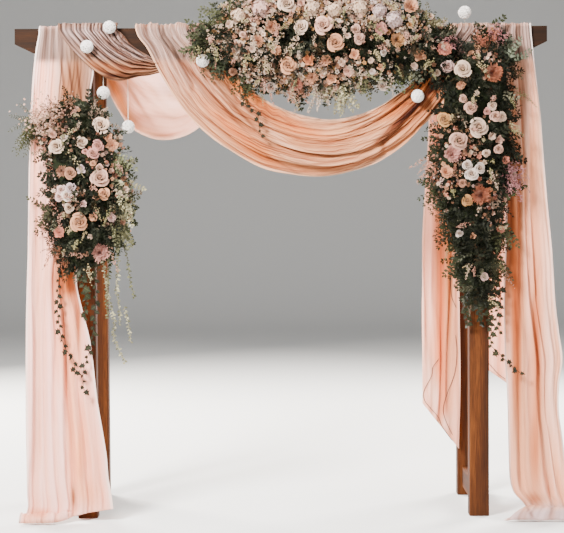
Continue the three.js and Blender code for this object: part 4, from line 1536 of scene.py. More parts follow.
def cluster_form(seed: int, count: int = 46) -> Patch:
    """A hydrangea head of radius 1: florets over a ball, at the golden angle from one to the next.

    Floret k's height on the ball = 1 - 1.35 (k + 0.5) / count.

    Args:
        seed: which head.
        count: how many florets.

    Returns:
        The form.
    """
    draw = np.random.default_rng(seed)
    k = np.arange(count)
    height, angle = 1 - 1.35 * (k + 0.5) / count, GOLDEN_ANGLE * k
    flat = np.sqrt(1 - height * height)
    axis = np.stack([flat * np.cos(angle), flat * np.sin(angle), height], -1)
    turns = turns_towards(axis + 0.2 * draw.normal(size=axis.shape), draw.uniform(0.26, 0.38, count), draw)
    return scattered(floret_form(4), turns, axis * draw.uniform(0.78, 0.98, (count, 1)),
                     draw.uniform(0.82, 1.06, (count, 1)) * np.ones(3))


def leaf_form(rows: int = 5, width: float = 0.30, droop: float = 0.25, fold: float = 0.36,
              outline: Row | None = None) -> Patch:
    """A leaf of length 1 along +X whose face looks to +Z.

    Half width = width * sin(pi b^0.75), or the outline's, height = -droop * b^2 + fold * |a| * half width.

    Args:
        rows: points along it.
        width: its half width.
        droop, fold: how far its tip hangs and its sides rise.
        outline: half widths, at even places from base to tip.

    Returns:
        The form.
    """
    b, a = petal_grid(rows, 3)
    half = width * np.sin(math.pi * b ** 0.75) + 0.006
    if outline:
        half = np.interp(b, np.linspace(0, 1, len(outline)), outline)
    points = np.stack([b, a * half, -droop * b * b + fold * np.abs(a) * half], -1)
    return Patch.grid(points, (0.82 + 0.18 * np.abs(a))[..., None], np.stack([(a + 1) / 2, b], -1))


def ivy_form() -> Patch:
    """An ivy leaf: two side lobes near its base, two at its shoulders and a long tip."""
    return leaf_form(9, droop=0.2, outline=(0.05, 0.44, 0.34, 0.26, 0.50, 0.24, 0.15, 0.08, 0.01))


def sprig_form(seed: int, pairs: int, leaf: float, slim: float, spread: float, droop: float) -> Patch:
    """A sprig of length 1 along +X: a bent stem with pairs of leaves and one at its tip.

    The stem's height is -droop * t^2. Each leaf is leaf * (1.15 - 0.5 t) long, leaves the stem by
    `spread` and is a folded diamond of four faces.

    Args:
        seed: which sprig.
        pairs: pairs of leaves.
        leaf: length of the lowest leaves.
        slim: a leaf's half width as a share of its length.
        spread: the angle between leaf and stem.
        droop: how far the tip hangs.

    Returns:
        The form.
    """
    draw = np.random.default_rng(seed)
    place = np.append(np.repeat(np.linspace(0.16, 0.9, pairs), 2), 0.96)
    side = np.append(np.tile([1.0, -1.0], pairs), 0.0)
    count = len(place)
    size = leaf * (1.15 - 0.5 * place) * draw.uniform(0.8, 1.15, count)
    turn = side * spread * draw.uniform(0.8, 1.2, count)
    along = np.stack([np.cos(turn), np.sin(turn), draw.uniform(-0.35, 0.30, count)], -1)
    face = np.stack([*draw.uniform(-0.4, 0.4, (2, count)), np.ones(count)], -1)
    leaves = scattered(leaf_form(3, slim, 0.2, 0.42), leaf_turns(along, face, size),
                       np.stack([place, 0 * place, -droop * place ** 2], -1),
                       draw.uniform(0.78, 1.2, (count, 1)) * np.ones(3))
    t = np.linspace(0, 1, 4)
    return Patch.joined([leaves, tube(np.stack([t, 0 * t, -droop * t * t], -1), 0.009, 3, np.array([0.9, 0.8, 0.7]))])


def greens(count: int, draw: np.random.Generator, dark: float = 0.5) -> Array:
    """Leaf colours, from near black to silver.

    Args:
        count: how many.
        draw: random numbers.
        dark: how many are near black, beside the other tones' 0.50 in all.

    Returns:
        Count by 3, in linear light.
    """
    tones = linear(np.array([
        (4.5, 5.2, 5.2), (11, 11.8, 10), (23, 24, 18), (46, 46, 39), (72, 68, 57), (42, 29, 21)]))
    shares = np.array([dark, 0.22, 0.10, 0.07, 0.05, 0.06])
    return tones[draw.choice(len(tones), count, p=shares / shares.sum())] * draw.uniform(0.10, 0.50, (count, 1))


@dataclass
class GarlandShape:
    """A garland's mass, a loft of half ovals with a flat back.

    Stations are (along, centre across, half width, depth). An upright garland runs along Z.
    """

    stations: Array
    back: float
    upright: bool

    def at(self, s: Array) -> list[Array]:
        """Distance along, centre, half width and depth at these places, 0 to 1."""
        place = np.linspace(0, 1, len(self.stations))
        return [np.interp(s, place, column) for column in self.stations.T]

    def surface(self, s: Array, angle: Array, out: Array | float = 1.0) -> tuple[Array, Array]:
        """Points on the mass and the directions away from its middle line.

        Across = centre + half width * cos(angle), y = back - depth * sin(angle), both times out.

        Args:
            s: place along the garland, 0 to 1.
            angle: round it, 0 to pi from one edge over the front to the other.
            out: 1 on the surface, less inside.

        Returns:
            Points and directions.
        """
        along, centre, half, depth = self.at(s)
        across, y = centre + out * half * np.cos(angle), self.back - out * depth * np.sin(angle)
        sideways = np.cos(angle) / np.maximum(half, 0.03) * depth
        front = -np.sin(angle) / np.maximum(depth, 0.03) * half
        order = [1, 2, 0] if self.upright else [0, 2, 1]
        points, away = np.broadcast_arrays(along, across, y), (0 * along + 0 * y, sideways + 0 * y, front + 0 * y)
        return np.stack([points[k] for k in order], -1), unit(np.stack([away[k] for k in order], -1))

    def spread(self, count: int, draw: np.random.Generator, low: float = 0.0,
               high: float = 1.0) -> tuple[Array, Array]:
        """Even random places over the mass: their number follows half width + 0.8 * depth.

        Args:
            count: how many.
            draw: random numbers.
            low, high: the part of the garland's length that they keep to.

        Returns:
            Place along and angle round of each, as surface takes them.
        """
        fine = np.linspace(low, high, 400)
        along, _, half, depth = self.at(fine)
        weight = np.cumsum((half + 0.8 * depth) * np.abs(np.gradient(along)))
        s = np.interp(draw.uniform(0, weight[-1], count), weight, fine)
        return s, np.arccos(np.clip(draw.uniform(-1.02, 1.02, count), -1, 1))

    def in_front_of(self, x: Array, z: Array) -> tuple[Array, Array]:
        """The mass's points in front of (x, z), kept inside its outline.

        Args:
            x, z: in metres.

        Returns:
            Place along and angle round of each, as surface takes them.
        """
        value, across = (z, x) if self.upright else (x, z)
        s = np.interp(value, self.stations[:, 0], np.linspace(0, 1, len(self.stations)))
        _, centre, half, _ = self.at(s)
        return s, np.arccos(np.clip((across - centre) / np.maximum(half, 0.02), -0.985, 0.985))


@dataclass
class Garland:
    """One garland: a mossy core, leaves, small florets, sprays and its placed blooms.

    `blooms` are (kind, colour, (x, z, radius), ...) rows, and `floret_areas` (x, z, half width, half
    height, share) rows, both in mm. `hang` is how far leaves droop. The three sizes are the least and
    the most, in metres: leaves' length, small blooms' radius and florets' radius.
    """

    name: str
    node: str
    shape: GarlandShape
    blooms: tuple[tuple, ...]
    seed: int
    leaves: int
    florets: int
    sprays: int
    palette: tuple[Petal, ...]
    floret_areas: tuple[Row, ...]
    small_blooms: int
    dark_leaves: float = 0.5
    hang: float = 0.35
    leaf_size: Row = (0.040, 0.082)
    small_size: Row = (0.012, 0.020)
    floret_size: Row = (0.0055, 0.013)
    placed: list[tuple] = field(default_factory=list)

    def __post_init__(self) -> None:
        """Lists the blooms one by one, in metres."""
        self.placed = [(x / 1000, z / 1000, r / 1000, kind, petal)
                       for kind, petal, *spots in self.blooms for x, z, r in spots]

    def core(self, finish: Material) -> None:
        """The dark mass under the leaves: the mass at 0.8 of its size, crumpled by noise, and closed.

        Args:
            finish: its material.
        """
        s, angle = np.meshgrid(np.linspace(0, 1, 46), np.linspace(0, TURN, 37), indexing="ij")
        lump = ripple(s, angle / TURN, self.seed + 3, 9, 9, 16)
        points, _ = self.shape.surface(s, np.where(angle <= math.pi, angle, 0.0), 0.80 + 0.07 * lump)
        flat, _ = self.shape.surface(s, np.arccos(0.80 * np.cos(angle)))
        points = np.where((angle > math.pi)[..., None], flat * (1, 0, 1) + (0, self.shape.back, 0), points)
        points[..., 1] = np.minimum(points[..., 1], self.shape.back) - 0.004
        points[[0, -1]] = points[[0, -1]].mean(1, keepdims=True)
        tint = np.clip(linear((9, 11, 8)) * (1 + 0.3 * lump[..., None]), 0, 1)
        make_piece(f"{self.name}_core", Patch.grid(points, tint, turned=self.shape.upright), finish,
                   (self.node,), 1e-5)

    def off_blooms(self, points: Array, margin: float) -> Array:
        """Whether each point lies clear of every placed bloom, seen from the front."""
        x, z, r = np.array([row[:3] for row in self.placed]).T
        return (np.hypot(points[:, None, 0] - x, points[:, None, 2] - z) > r + margin).all(1)

    def leaf_patch(self) -> Patch:
        """Sprigs and single leaves over the mass and its back: each points outwards and droops.

        Its length runs along 0.1 to 0.9 * away + 0.7 * random - hang * up, more outwards at the mass's
        edges, and it faces away + 0.5 * random. None starts or ends over a bloom.

        Returns:
            The patch.
        """
        draw, count = np.random.default_rng(self.seed), self.leaves
        forms = (sprig_form(61, 4, leaf=0.36, slim=0.30, spread=0.9, droop=0.20),
                 sprig_form(62, 5, leaf=0.30, slim=0.36, spread=1.0, droop=0.35),
                 sprig_form(63, 5, leaf=0.34, slim=0.17, spread=0.7, droop=0.15), ivy_form(), leaf_form(4))
        s, angle = self.shape.spread(count, draw)
        places, away = self.shape.surface(s, angle, draw.uniform(0.70, 0.93, count))
        along = away * draw.uniform(0.1, 0.9, (count, 1)) + 0.7 * draw.normal(size=away.shape)
        along[:, 2] -= self.hang
        along[:, 1] = np.minimum(along[:, 1], 0.2)
        along += 0.7 * away * (np.abs(np.cos(angle)) > 0.88)[:, None]
        face = away + 0.5 * draw.normal(size=away.shape)
        which = draw.choice(len(forms), count, p=(0.30, 0.26, 0.22, 0.10, 0.12))
        size = draw.uniform(*self.leaf_size, count) * np.array((1.0, 0.9, 1.15, 0.42, 0.5))[which]
        turns = leaf_turns(along, face, size, draw.uniform(*LEAF_WIDTHS, count))
        colours, tips = greens(count, draw, self.dark_leaves), places + turns[:, :, 0] * 0.8
        kept = self.off_blooms(places, -0.004) & self.off_blooms(tips, -0.004) & self.off_blooms(
            (places + tips) / 2, -0.006)
        chosen = [kept & (which == k) for k in range(len(forms))]
        return Patch.joined([*(scattered(form, turns[c], places[c], colours[c]) for form, c in zip(forms, chosen)),
                             self.back_leaves(draw)])

    def back_leaves(self, draw: np.random.Generator) -> Patch:
        """Sprigs that lie flat over the garland's back, as the front's do over its face.

        Length along away + 0.8 * random - hang * up, with next to no Y, and face to the rear.

        Args:
            draw: random numbers.

        Returns:
            The patch.
        """
        count = self.leaves // 2
        s, angle = self.shape.spread(count, draw)
        places, away = self.shape.surface(s, angle, draw.uniform(0.1, 1.0, count))
        places[:, 1] = self.shape.back - draw.uniform(0.0, 0.004, count)
        along = away * (1, 0, 1) + draw.normal(size=away.shape) * (0.8, 0.08, 0.8) - (0, 0, self.hang)
        face = np.array([0, 1.0, 0]) + 0.3 * draw.normal(size=away.shape)
        turns = leaf_turns(along, face, draw.uniform(*self.leaf_size, count), draw.uniform(*LEAF_WIDTHS, count))
        form = sprig_form(64, 4, leaf=0.36, slim=0.32, spread=0.9, droop=0.05)
        return scattered(form, turns, places, greens(count, draw))

    def bloom_patch(self) -> Patch:
        """The blooms at their places on the mass: each faces 0.45 * away + 0.8 forward + 0.1 up.

        Returns:
            The patch.
        """
        draw = np.random.default_rng(self.seed + 1)
        forms = {
            ROSE: [rose_form(1), rose_form(2), rose_form(3)],
            MUM: [star_form(4, 120, length=1.0, width=0.080, cup=0.60, frill=0.04, inner_low=0.62, mixed=0.44),
                  star_form(5, 130, length=1.0, width=0.070, cup=0.52, frill=0.03, inner_low=0.66, mixed=0.44)],
            CARNATION: [star_form(6, 46, length=0.95, width=0.24, cup=0.26, frill=0.11, inner_low=0.80)],
            HYDRANGEA: [cluster_form(7)],
            LOOSE: [star_form(8, 16, length=1.0, width=0.30, cup=0.25, frill=0.05)]}
        self.add_small_blooms(draw)
        parts = []
        for x, z, radius, kind, petal in self.placed:
            point, away = self.shape.surface(*self.shape.in_front_of(x, z))
            axis = away * 0.45 + np.array([0.0, -0.80, 0.10]) + 0.12 * draw.normal(size=3)
            size = radius * (1.10 if kind is ROSE else 1.16)
            sink = 0.4 if kind in (HYDRANGEA, LOOSE) else 0.0
            centre = np.array([x, point[1], z]) + unit(axis) * (0.012 - sink * size)
            form = forms[kind][int(draw.integers(len(forms[kind])))]
            turns = turns_towards(axis[None], size, draw)
            parts.append(scattered(form, turns, centre[None], linear(petal.value)[None] * draw.uniform(0.72, 0.88)))
        return Patch.joined(parts)

    def add_small_blooms(self, draw: np.random.Generator) -> None:
        """Places small blooms in the gaps, where no other bloom is near.

        Args:
            draw: random numbers.
        """
        wanted = len(self.placed) + self.small_blooms
        while len(self.placed) < wanted:
            point = self.shape.surface(*self.shape.spread(1, draw, 0.06, 0.94))[0]
            radius = draw.uniform(*self.small_size)
            if self.off_blooms(point, radius)[0]:
                kind, petal = (LOOSE, ROSE, CARNATION)[draw.integers(3)], draw.integers(len(self.palette))
                self.placed.append((*point[0, [0, 2]], radius, kind, self.palette[petal]))

    def floret_patch(self) -> Patch:
        """Small florets and buds, normally spread over the floret areas: each faces away + 0.5 forward.

        Returns:
            The patch.
        """
        draw, count = np.random.default_rng(self.seed + 2), self.florets
        areas = np.array(self.floret_areas)
        areas = areas[draw.choice(len(areas), count, p=areas[:, 4] / areas[:, 4].sum())]
        x, z = (areas[:, :2] + areas[:, 2:4] * draw.normal(size=(count, 2)) * 0.55).T / 1000
        points, away = self.shape.surface(*self.shape.in_front_of(x, z), draw.uniform(0.94, 1.07, count))
        axis = away + np.array([0, -0.5, 0.2]) + 0.45 * draw.normal(size=away.shape)
        turns = turns_towards(axis, draw.uniform(*self.floret_size, count), draw)
        palette = linear(np.array([p.value for p in self.palette]))
        colours = palette[draw.integers(len(palette), size=count)] * draw.uniform(0.10, 0.85, (count, 1))
        clear, opened = self.off_blooms(points, 0.002), draw.uniform(size=count) < 0.72
        return Patch.joined([scattered(form, turns[some], points[some], colours[some]) for form, some in (
            (floret_form(), clear & opened), (bud_form(), clear & ~opened))])

    def spray_patch(self) -> Patch:
        """Feathery sprays, as loose stems all over the mass.

        Returns:
            The patch.
        """
        draw = np.random.default_rng(self.seed + 4)
        roots, away = self.shape.surface(*self.shape.spread(self.sprays, draw), 0.9)
        tones = ((80, 76, 58), (66, 66, 46), (88, 80, 70), (86, 66, 58))
        return Patch.joined([part for root, out in zip(roots, away) if self.off_blooms(root[None], 0.004)[0]
                             for part in feathery(root, unit(out + 0.6 * draw.normal(size=3) - (0, 0.3, 0.15)),
                                                  draw.uniform(0.07, 0.13), 0.35, PLUME,
                                                  linear(tones[draw.integers(4)]) * 0.8, draw)])

    def build(self, moss: Material, leaf: Material, petal: Material) -> None:
        """Makes the garland's five pieces. The blooms come first, because the rest keeps clear of them.

        Args:
            moss, leaf, petal: the materials.
        """
        self.core(moss)
        blooms = self.bloom_patch()
        for part, patch, look, slot in (
                ("leaves", self.leaf_patch(), leaf, "greenery"), ("blooms", blooms, petal, "petals"),
                ("florets", self.floret_patch(), petal, "petals"), ("sprays", self.spray_patch(), petal, "petals")):
            make_piece(f"{self.name}_{part}", patch.pressed(), look, (self.node,))


def feathery(root: Array, way: Array, length: float, hang: float, kind: Stem, tone: Array,
             draw: np.random.Generator) -> tuple[Patch, Patch]:
    """One bent stem, point = root + length * (t * way - hang * t^2 * up), with buds or tiny flowers.

    Args:
        root: where it starts.
        way: which way it goes.
        length: how long it is.
        hang: how far its tip hangs, as a share of its length.
        kind: PLUME for buds that get smaller towards its tip, FILLER for tiny flowers.
        tone: the buds' colour in linear light.
        draw: random numbers.

    Returns:
        The stem, and its buds or flowers.
    """
    plume = kind is PLUME
    count, form = (38, bud_form(4, 2)) if plume else (16, floret_form())
    t = draw.uniform(0.3 if plume else 0.45, 1, count)[:, None]
    stem_t = np.linspace(0, 1, 6)[:, None]
    fall = np.array([0, 0, -hang])
    loose = draw.normal(size=(count, 3)) * length * (0.09 * (1.15 - t) if plume else 0.20 * t)
    centre = root + length * (way * t + fall * t * t) + loose
    centre[:, 1] = np.minimum(centre[:, 1], root[1] + 0.008)
    size = length * 0.068 * (1.3 - 0.7 * t[:, 0]) if plume else draw.uniform(0.003, 0.0062, count)
    turns = turns_towards(draw.normal(size=(count, 3)) + np.array([0, -1.2, 0.3]), size, draw)
    stem = tube(root + length * (way * stem_t + fall * stem_t ** 2), 0.0008, 3, linear((26, 30, 18)))
    return stem, scattered(form, turns, centre, tone * draw.uniform(0.8, 1.1, (count, 1)))


def block_leaves(node: str, seed: int, count: int = 320) -> Patch:
    """Sprigs that lie over a block's two sides, its top and its bottom, at random points of its box.

    Length along 0.4 * away + 0.8 * random - 0.35 * up, face along away + 0.4 * random.

    Args:
        node: the block's node.
        seed: which sprigs.
        count: how many.

    Returns:
        The patch.
    """
    draw = np.random.default_rng(seed)
    box = np.array(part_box(node)) - MIDDLE
    half, rows = (box[1] - box[0]) / 2, np.arange(count)
    spot = draw.uniform(-1, 1, (count, 3))
    side = np.where(draw.uniform(size=count) < half[2] / (half[0] + half[2]), 0, 2)
    away = np.zeros((count, 3))
    spot[rows, side] = away[rows, side] = np.sign(spot[rows, side])
    along = 0.4 * away + draw.normal(size=away.shape) * (0.8, 0.35, 0.8) - (0, 0, 0.35)
    face = away + 0.4 * draw.normal(size=away.shape)
    turns = leaf_turns(along, face, draw.uniform(0.035, 0.065, count), draw.uniform(*LEAF_WIDTHS, count))
    form = sprig_form(65, 4, leaf=0.36, slim=0.32, spread=0.9, droop=0.05)
    return scattered(form, turns, box.mean(0) + spot * half * (1, 0.9, 1), greens(count, draw))


@dataclass(frozen=True)
class Tuft:
    """Loose stems that stand or hang out of a garland, from (x, z) in mm, `length` mm that way."""

    x: float
    z: float
    way: tuple[float, float]
    length: float
    stems: int
    kind: Stem
    tone: Colour
    spread: float = 0.4
    hang: float = 0.3
    roots_between: Row = (-0.49, -0.44)

    def patches(self, seed: int, shape: GarlandShape) -> tuple[list[Patch], list[Patch]]:
        """The tuft's stems: each goes the tuft's way + spread * random, from close beside its root.

        Args:
            seed: which stems.
            shape: the garland's mass.

        Returns:
            Its leaves and stems, and its flowers.
        """
        draw, count = np.random.default_rng(seed), self.stems
        front = shape.surface(*shape.in_front_of(self.x / 1000, self.z / 1000))[0][1]
        root = np.array([self.x / 1000, np.clip(front + 0.03, *self.roots_between), self.z / 1000])
        ways = unit(np.array([self.way[0], -0.2, self.way[1]]) + self.spread * draw.normal(size=(count, 3)))
        ways[:, 1] = np.minimum(ways[:, 1], 0.05)
        roots = root + 0.012 * draw.normal(size=(count, 3))
        roots[:, 1] = np.minimum(roots[:, 1], root[1] + 0.004)
        lengths = self.length / 1000 * draw.uniform(0.6, 1.1, count)
        tones = linear(self.tone) * draw.uniform(0.5, 1.0, (count, 1))
        if self.kind in (FERN, LEAFY):
            pairs, leaf, slim = (9, 0.17, 0.16) if self.kind is FERN else (6, 0.20, 0.34)
            face = np.array([0, -1.0, 0.3]) + 0.35 * draw.normal(size=ways.shape)
            form = sprig_form(seed, pairs, leaf, slim, spread=0.95, droop=self.hang)
            return [scattered(form, leaf_turns(ways, face, lengths), roots, tones)], []
        made = [feathery(*row, self.hang, self.kind, tone, draw) for *row, tone in zip(roots, ways, lengths, tones)]
        return [stem for stem, _ in made], [buds for _, buds in made]


@dataclass(frozen=True)
class Vine:
    """A trailing stem: (x, z) points down it, y at its start and end, its leaves' length and step, in mm."""

    path: tuple[Row, ...]
    y: tuple[float, float]
    leaf: float
    step: float
    form: Patch
    tone: Colour

    def patch(self, seed: int) -> Patch:
        """A thin stem along a smooth curve, with a leaf at each step, left and right by turns.

        A leaf's length runs along 0.6 * ahead + 0.8 * to its side + 0.3 * random, its face forward.

        Args:
            seed: its leaves.

        Returns:
            The patch.
        """
        draw = np.random.default_rng(seed)
        xz = np.array(self.path) / 1000
        knots = np.stack([xz[:, 0], np.linspace(*self.y, len(xz)) / 1000, xz[:, 1]], -1)
        length = run(knots)[-1]
        at = np.arange(0.006, length, self.step / 1000)
        roots, count = curve(knots, at), len(at)
        ahead = unit(curve(knots, np.minimum(at + 0.01, length)) - roots + 1e-6)
        side = np.where(np.arange(count) % 2 == 0, 1.0, -1.0)[:, None]
        along = ahead * 0.6 + side * np.array([0.8, -0.15, 0.0]) + 0.3 * draw.normal(size=roots.shape)
        face = np.array([0, -1.0, 0.25]) + 0.3 * draw.normal(size=roots.shape)
        size = self.leaf / 1000 * draw.uniform(0.6, 1.25, count)
        shade = draw.choice((0.3, 0.6, 1.0, 1.3), (count, 1), p=(0.3, 0.2, 0.3, 0.2))
        leaves = scattered(self.form, leaf_turns(along, face, size, draw.uniform(0.85, 1.2, count)), roots,
                           linear(self.tone) * shade)
        return Patch.joined([tube(curve(knots, np.linspace(0, length, 60)), 0.0012, 4, linear(self.tone) * 0.8),
                             leaves])


@dataclass
class Flowers:
    """The three garlands and the greenery that trails from them.

    The tables of stations are a GarlandShape's, in mm, and those of blooms a Garland's.
    """

    back: float = -0.426
    tuft_seed: int = 600
    vine_seed: int = 400
    top_stations: tuple[Row, ...] = (
        (-408, 2156, 18, 25), (-345, 2178, 42, 50), (-300, 2185, 80, 70), (-250, 2205, 142, 95),
        (-150, 2187, 205, 120), (0, 2185, 228, 135), (150, 2178, 245, 140), (300, 2182, 235, 140),
        (450, 2188, 205, 132), (600, 2180, 160, 115), (690, 2150, 125, 90), (760, 2110, 90, 60))
    left_stations: tuple[Row, ...] = (
        (1165, -925, 28, 30), (1220, -895, 92, 70), (1310, -877, 178, 100), (1470, -862, 190, 120),
        (1650, -892, 185, 120), (1790, -925, 178, 105), (1865, -925, 120, 75), (1925, -925, 45, 35))
    right_stations: tuple[Row, ...] = (
        (1000, 890, 50, 45), (1100, 884, 68, 60), (1185, 876, 90, 75), (1290, 866, 120, 90), (1420, 855, 160, 112),
        (1600, 868, 200, 122), (1775, 873, 190, 122), (1940, 885, 175, 115), (2060, 895, 150, 100),
        (2130, 935, 95, 75), (2190, 945, 60, 55), (2245, 945, 25, 30))
    top_blooms: tuple[tuple, ...] = (
        (ROSE, CREAM, (23, 2335, 40), (91, 2230, 33), (700, 2036, 16)),
        (ROSE, BLUSH, (191, 2239, 40), (334, 2220, 22), (346, 2179, 25)),
        (ROSE, PEACH, (245, 2161, 38), (31, 2067, 36)), (ROSE, WHITE, (-47, 1977, 25), (457, 1986, 27)),
        (ROSE, PALEPINK, (750, 2063, 29)), (HYDRANGEA, PALEPINK, (-90, 2321, 36)),
        (HYDRANGEA, LILAC, (505, 2264, 36), (442, 2305, 29)),
        (HYDRANGEA, CREAM, (140, 2321, 32), (242, 2311, 32), (354, 2320, 34), (-190, 2290, 30)),
        (MUM, PEACH, (-41, 2235, 31), (-100, 2172, 27), (200, 2085, 26), (140, 2012, 27)),
        (MUM, CORAL, (66, 1985, 29)), (MUM, OCHRE, (513, 2173, 34)), (LOOSE, ORANGE, (122, 2089, 27)),
        (LOOSE, PEACH, (222, 2007, 27), (450, 2056, 20), (623, 2113, 31), (330, 2110, 26), (-20, 2130, 26)),
        (CARNATION, PINK, (446, 2219, 29)), (CARNATION, PEACH, (578, 2322, 34)),
        (CARNATION, CORAL, (732, 2135, 31)), (CARNATION, BLUSH, (300, 2040, 24)))
    right_blooms: tuple[tuple, ...] = (
        (ROSE, CREAM, (815, 2043, 38), (943, 1880, 20), (984, 1833, 22), (878, 1783, 42), (912, 1669, 18)),
        (ROSE, BLUSH, (811, 1913, 18), (845, 1870, 29), (952, 1833, 25), (790, 1727, 40), (966, 1688, 22)),
        (ROSE, WHITE, (829, 1618, 22), (881, 1601, 25), (849, 1575, 29), (797, 1310, 16)),
        (ROSE, PINK, (918, 1856, 16)), (ROSE, OCHRE, (733, 1824, 31), (829, 1458, 25)),
        (MUM, COPPER, (946, 2028, 43), (892, 1481, 45)), (CARNATION, PINK, (761, 1664, 38)),
        (CARNATION, PEACH, (738, 1582, 29)), (LOOSE, BLUSH, (972, 1731, 20)), (LOOSE, CREAM, (957, 1435, 20)))
    left_blooms: tuple[tuple, ...] = (
        (ROSE, CREAM, (-806, 1807, 36), (-1001, 1709, 34), (-892, 1731, 25), (-953, 1435, 22)),
        (ROSE, PINK, (-821, 1716, 25), (-844, 1680, 25), (-878, 1686, 13)), (ROSE, TAN, (-943, 1589, 27)),
        (ROSE, BLUSH, (-814, 1568, 40), (-816, 1617, 16)), (ROSE, PEACH, (-795, 1497, 27), (-910, 1372, 40)),
        (ROSE, PALEPINK, (-986, 1515, 22), (-995, 1487, 22)), (ROSE, LILAC, (-943, 1526, 22)),
        (ROSE, WHITE, (-961, 1489, 27)), (LOOSE, WHITE, (-969, 1749, 18)), (LOOSE, PEACH, (-780, 1753, 22)),
        (LOOSE, LILAC, (-894, 1611, 22)), (CARNATION, PEACH, (-764, 1713, 27)),
        (CARNATION, CORAL, (-1000, 1326, 25)), (CARNATION, PALEPINK, (-767, 1394, 22)),
        (MUM, TAN, (-982, 1601, 27)), (MUM, PINK, (-826, 1231, 42)))

    def shape(self, stations: tuple[Row, ...], upright: bool = True) -> GarlandShape:
        """A garland's mass from its table."""
        return GarlandShape(np.array(stations) / 1000, self.back, upright)

    def garlands(self) -> list[Garland]:
        """The three garlands, each with its numbers of leaves, florets and sprays.

        Returns:
            Top, left and right.
        """
        muted = (CREAM, CREAM, CREAM, WHITE, BLUSH, TAN, TAN, OCHRE)
        warm = (CREAM, PEACH, BLUSH, TAN, PALEPINK, CORAL, TAN)
        return [
            Garland("top_garland", "top_flowers", self.shape(self.top_stations, False), self.top_blooms,
                    seed=101, leaves=1900, florets=2700, sprays=150, palette=muted,
                    floret_areas=((180, 2330, 420, 90, 1.0), (100, 2030, 300, 80, 0.9),
                                  (550, 2250, 150, 140, 0.3), (-180, 2180, 130, 120, 0.4)),
                    small_blooms=22, dark_leaves=0.47),
            Garland("left_garland", "left_flowers", self.shape(self.left_stations), self.left_blooms,
                    seed=201, leaves=1250, florets=430, sprays=46, palette=warm,
                    floret_areas=((-1020, 1790, 100, 100, 1.0), (-960, 1480, 80, 100, 0.5),
                                  (-780, 1700, 80, 120, 0.5), (-740, 1500, 80, 160, 0.4)),
                    small_blooms=10),
            Garland("right_garland", "right_flowers", self.shape(self.right_stations), self.right_blooms,
                    seed=301, leaves=1550, florets=470, sprays=46, palette=warm,
                    floret_areas=((800, 1660, 120, 160, 1.0), (930, 2150, 80, 100, 0.5),
                                  (950, 1450, 100, 100, 0.4), (720, 1500, 60, 100, 0.3)),
                    small_blooms=12, dark_leaves=0.9)]

    def vines(self) -> dict[str, list[Vine]]:
        """The trailing stems.

        Returns:
            Those of each piece.
        """
        dark, mid, pale, olive = (7, 6.5, 5.5), (12, 13, 9), (60, 57, 46), (42, 41, 30)
        ivy, oval = ivy_form(), leaf_form()
        over, beside, post = (-450, -460), (-442, -440), (-405, -372)
        return {
            "left": [
                Vine(((-1000, 1230), (-1014, 1100), (-1019, 960), (-1010, 882), (-1002, 841), (-984, 796),
                      (-948, 741), (-944, 670)), over, 27, 23, ivy, dark),
                Vine(((-870, 1200), (-845, 1060), (-855, 928), (-869, 814), (-902, 710), (-908, 637), (-899, 600)),
                     over, 29, 23, ivy, dark),
                Vine(((-900, 1250), (-905, 1120), (-890, 1000), (-900, 930)), over, 32, 17, ivy, mid),
                Vine(((-815, 1220), (-800, 1080), (-774, 963), (-762, 900), (-770, 860), (-750, 799), (-715, 730)),
                     beside, 14, 7, oval, pale),
                Vine(((-760, 1330), (-745, 1200), (-752, 1060), (-738, 960), (-742, 900)), beside, 14, 7, oval, pale),
                Vine(((-735, 1360), (-705, 1220), (-690, 1100), (-672, 1030)), beside, 13, 8, oval, olive),
                Vine(((-790, 1300), (-785, 1160), (-800, 1020), (-792, 930)), beside, 14, 8, oval, olive),
                Vine(((-720, 990), (-700, 900), (-690, 820)), beside, 13, 8, oval, pale)],
            "right": [
                Vine(((905, 1260), (914, 1098), (928, 1007), (950, 893), (948, 802), (978, 770), (1020, 725),
                      (1060, 688), (1082, 672)), (-415, -458), 28, 20, ivy, dark),
                Vine(((960, 1180), (985, 1090), (992, 1010), (972, 930), (985, 860)), (-425, -445), 28, 20, ivy,
                     dark),
                Vine(((850, 1260), (842, 1100), (838, 980), (850, 880)), post, 28, 12, ivy, mid),
                Vine(((950, 1240), (968, 1110), (962, 1000), (940, 900)), post, 28, 13, ivy, dark),
                Vine(((890, 1220), (885, 1080), (895, 960), (905, 885)), post, 30, 16, ivy, mid),
                Vine(((950, 1420), (1000, 1455), (1053, 1496), (1100, 1523)), (-500, -470), 26, 12, oval,
                     (28, 31, 20))],
            "top": [Vine(((-190, 1990), (-165, 1900), (-112, 1862), (-100, 1800), (-86, 1742)), (-500, -496), 24, 26,
                         ivy, dark)]}

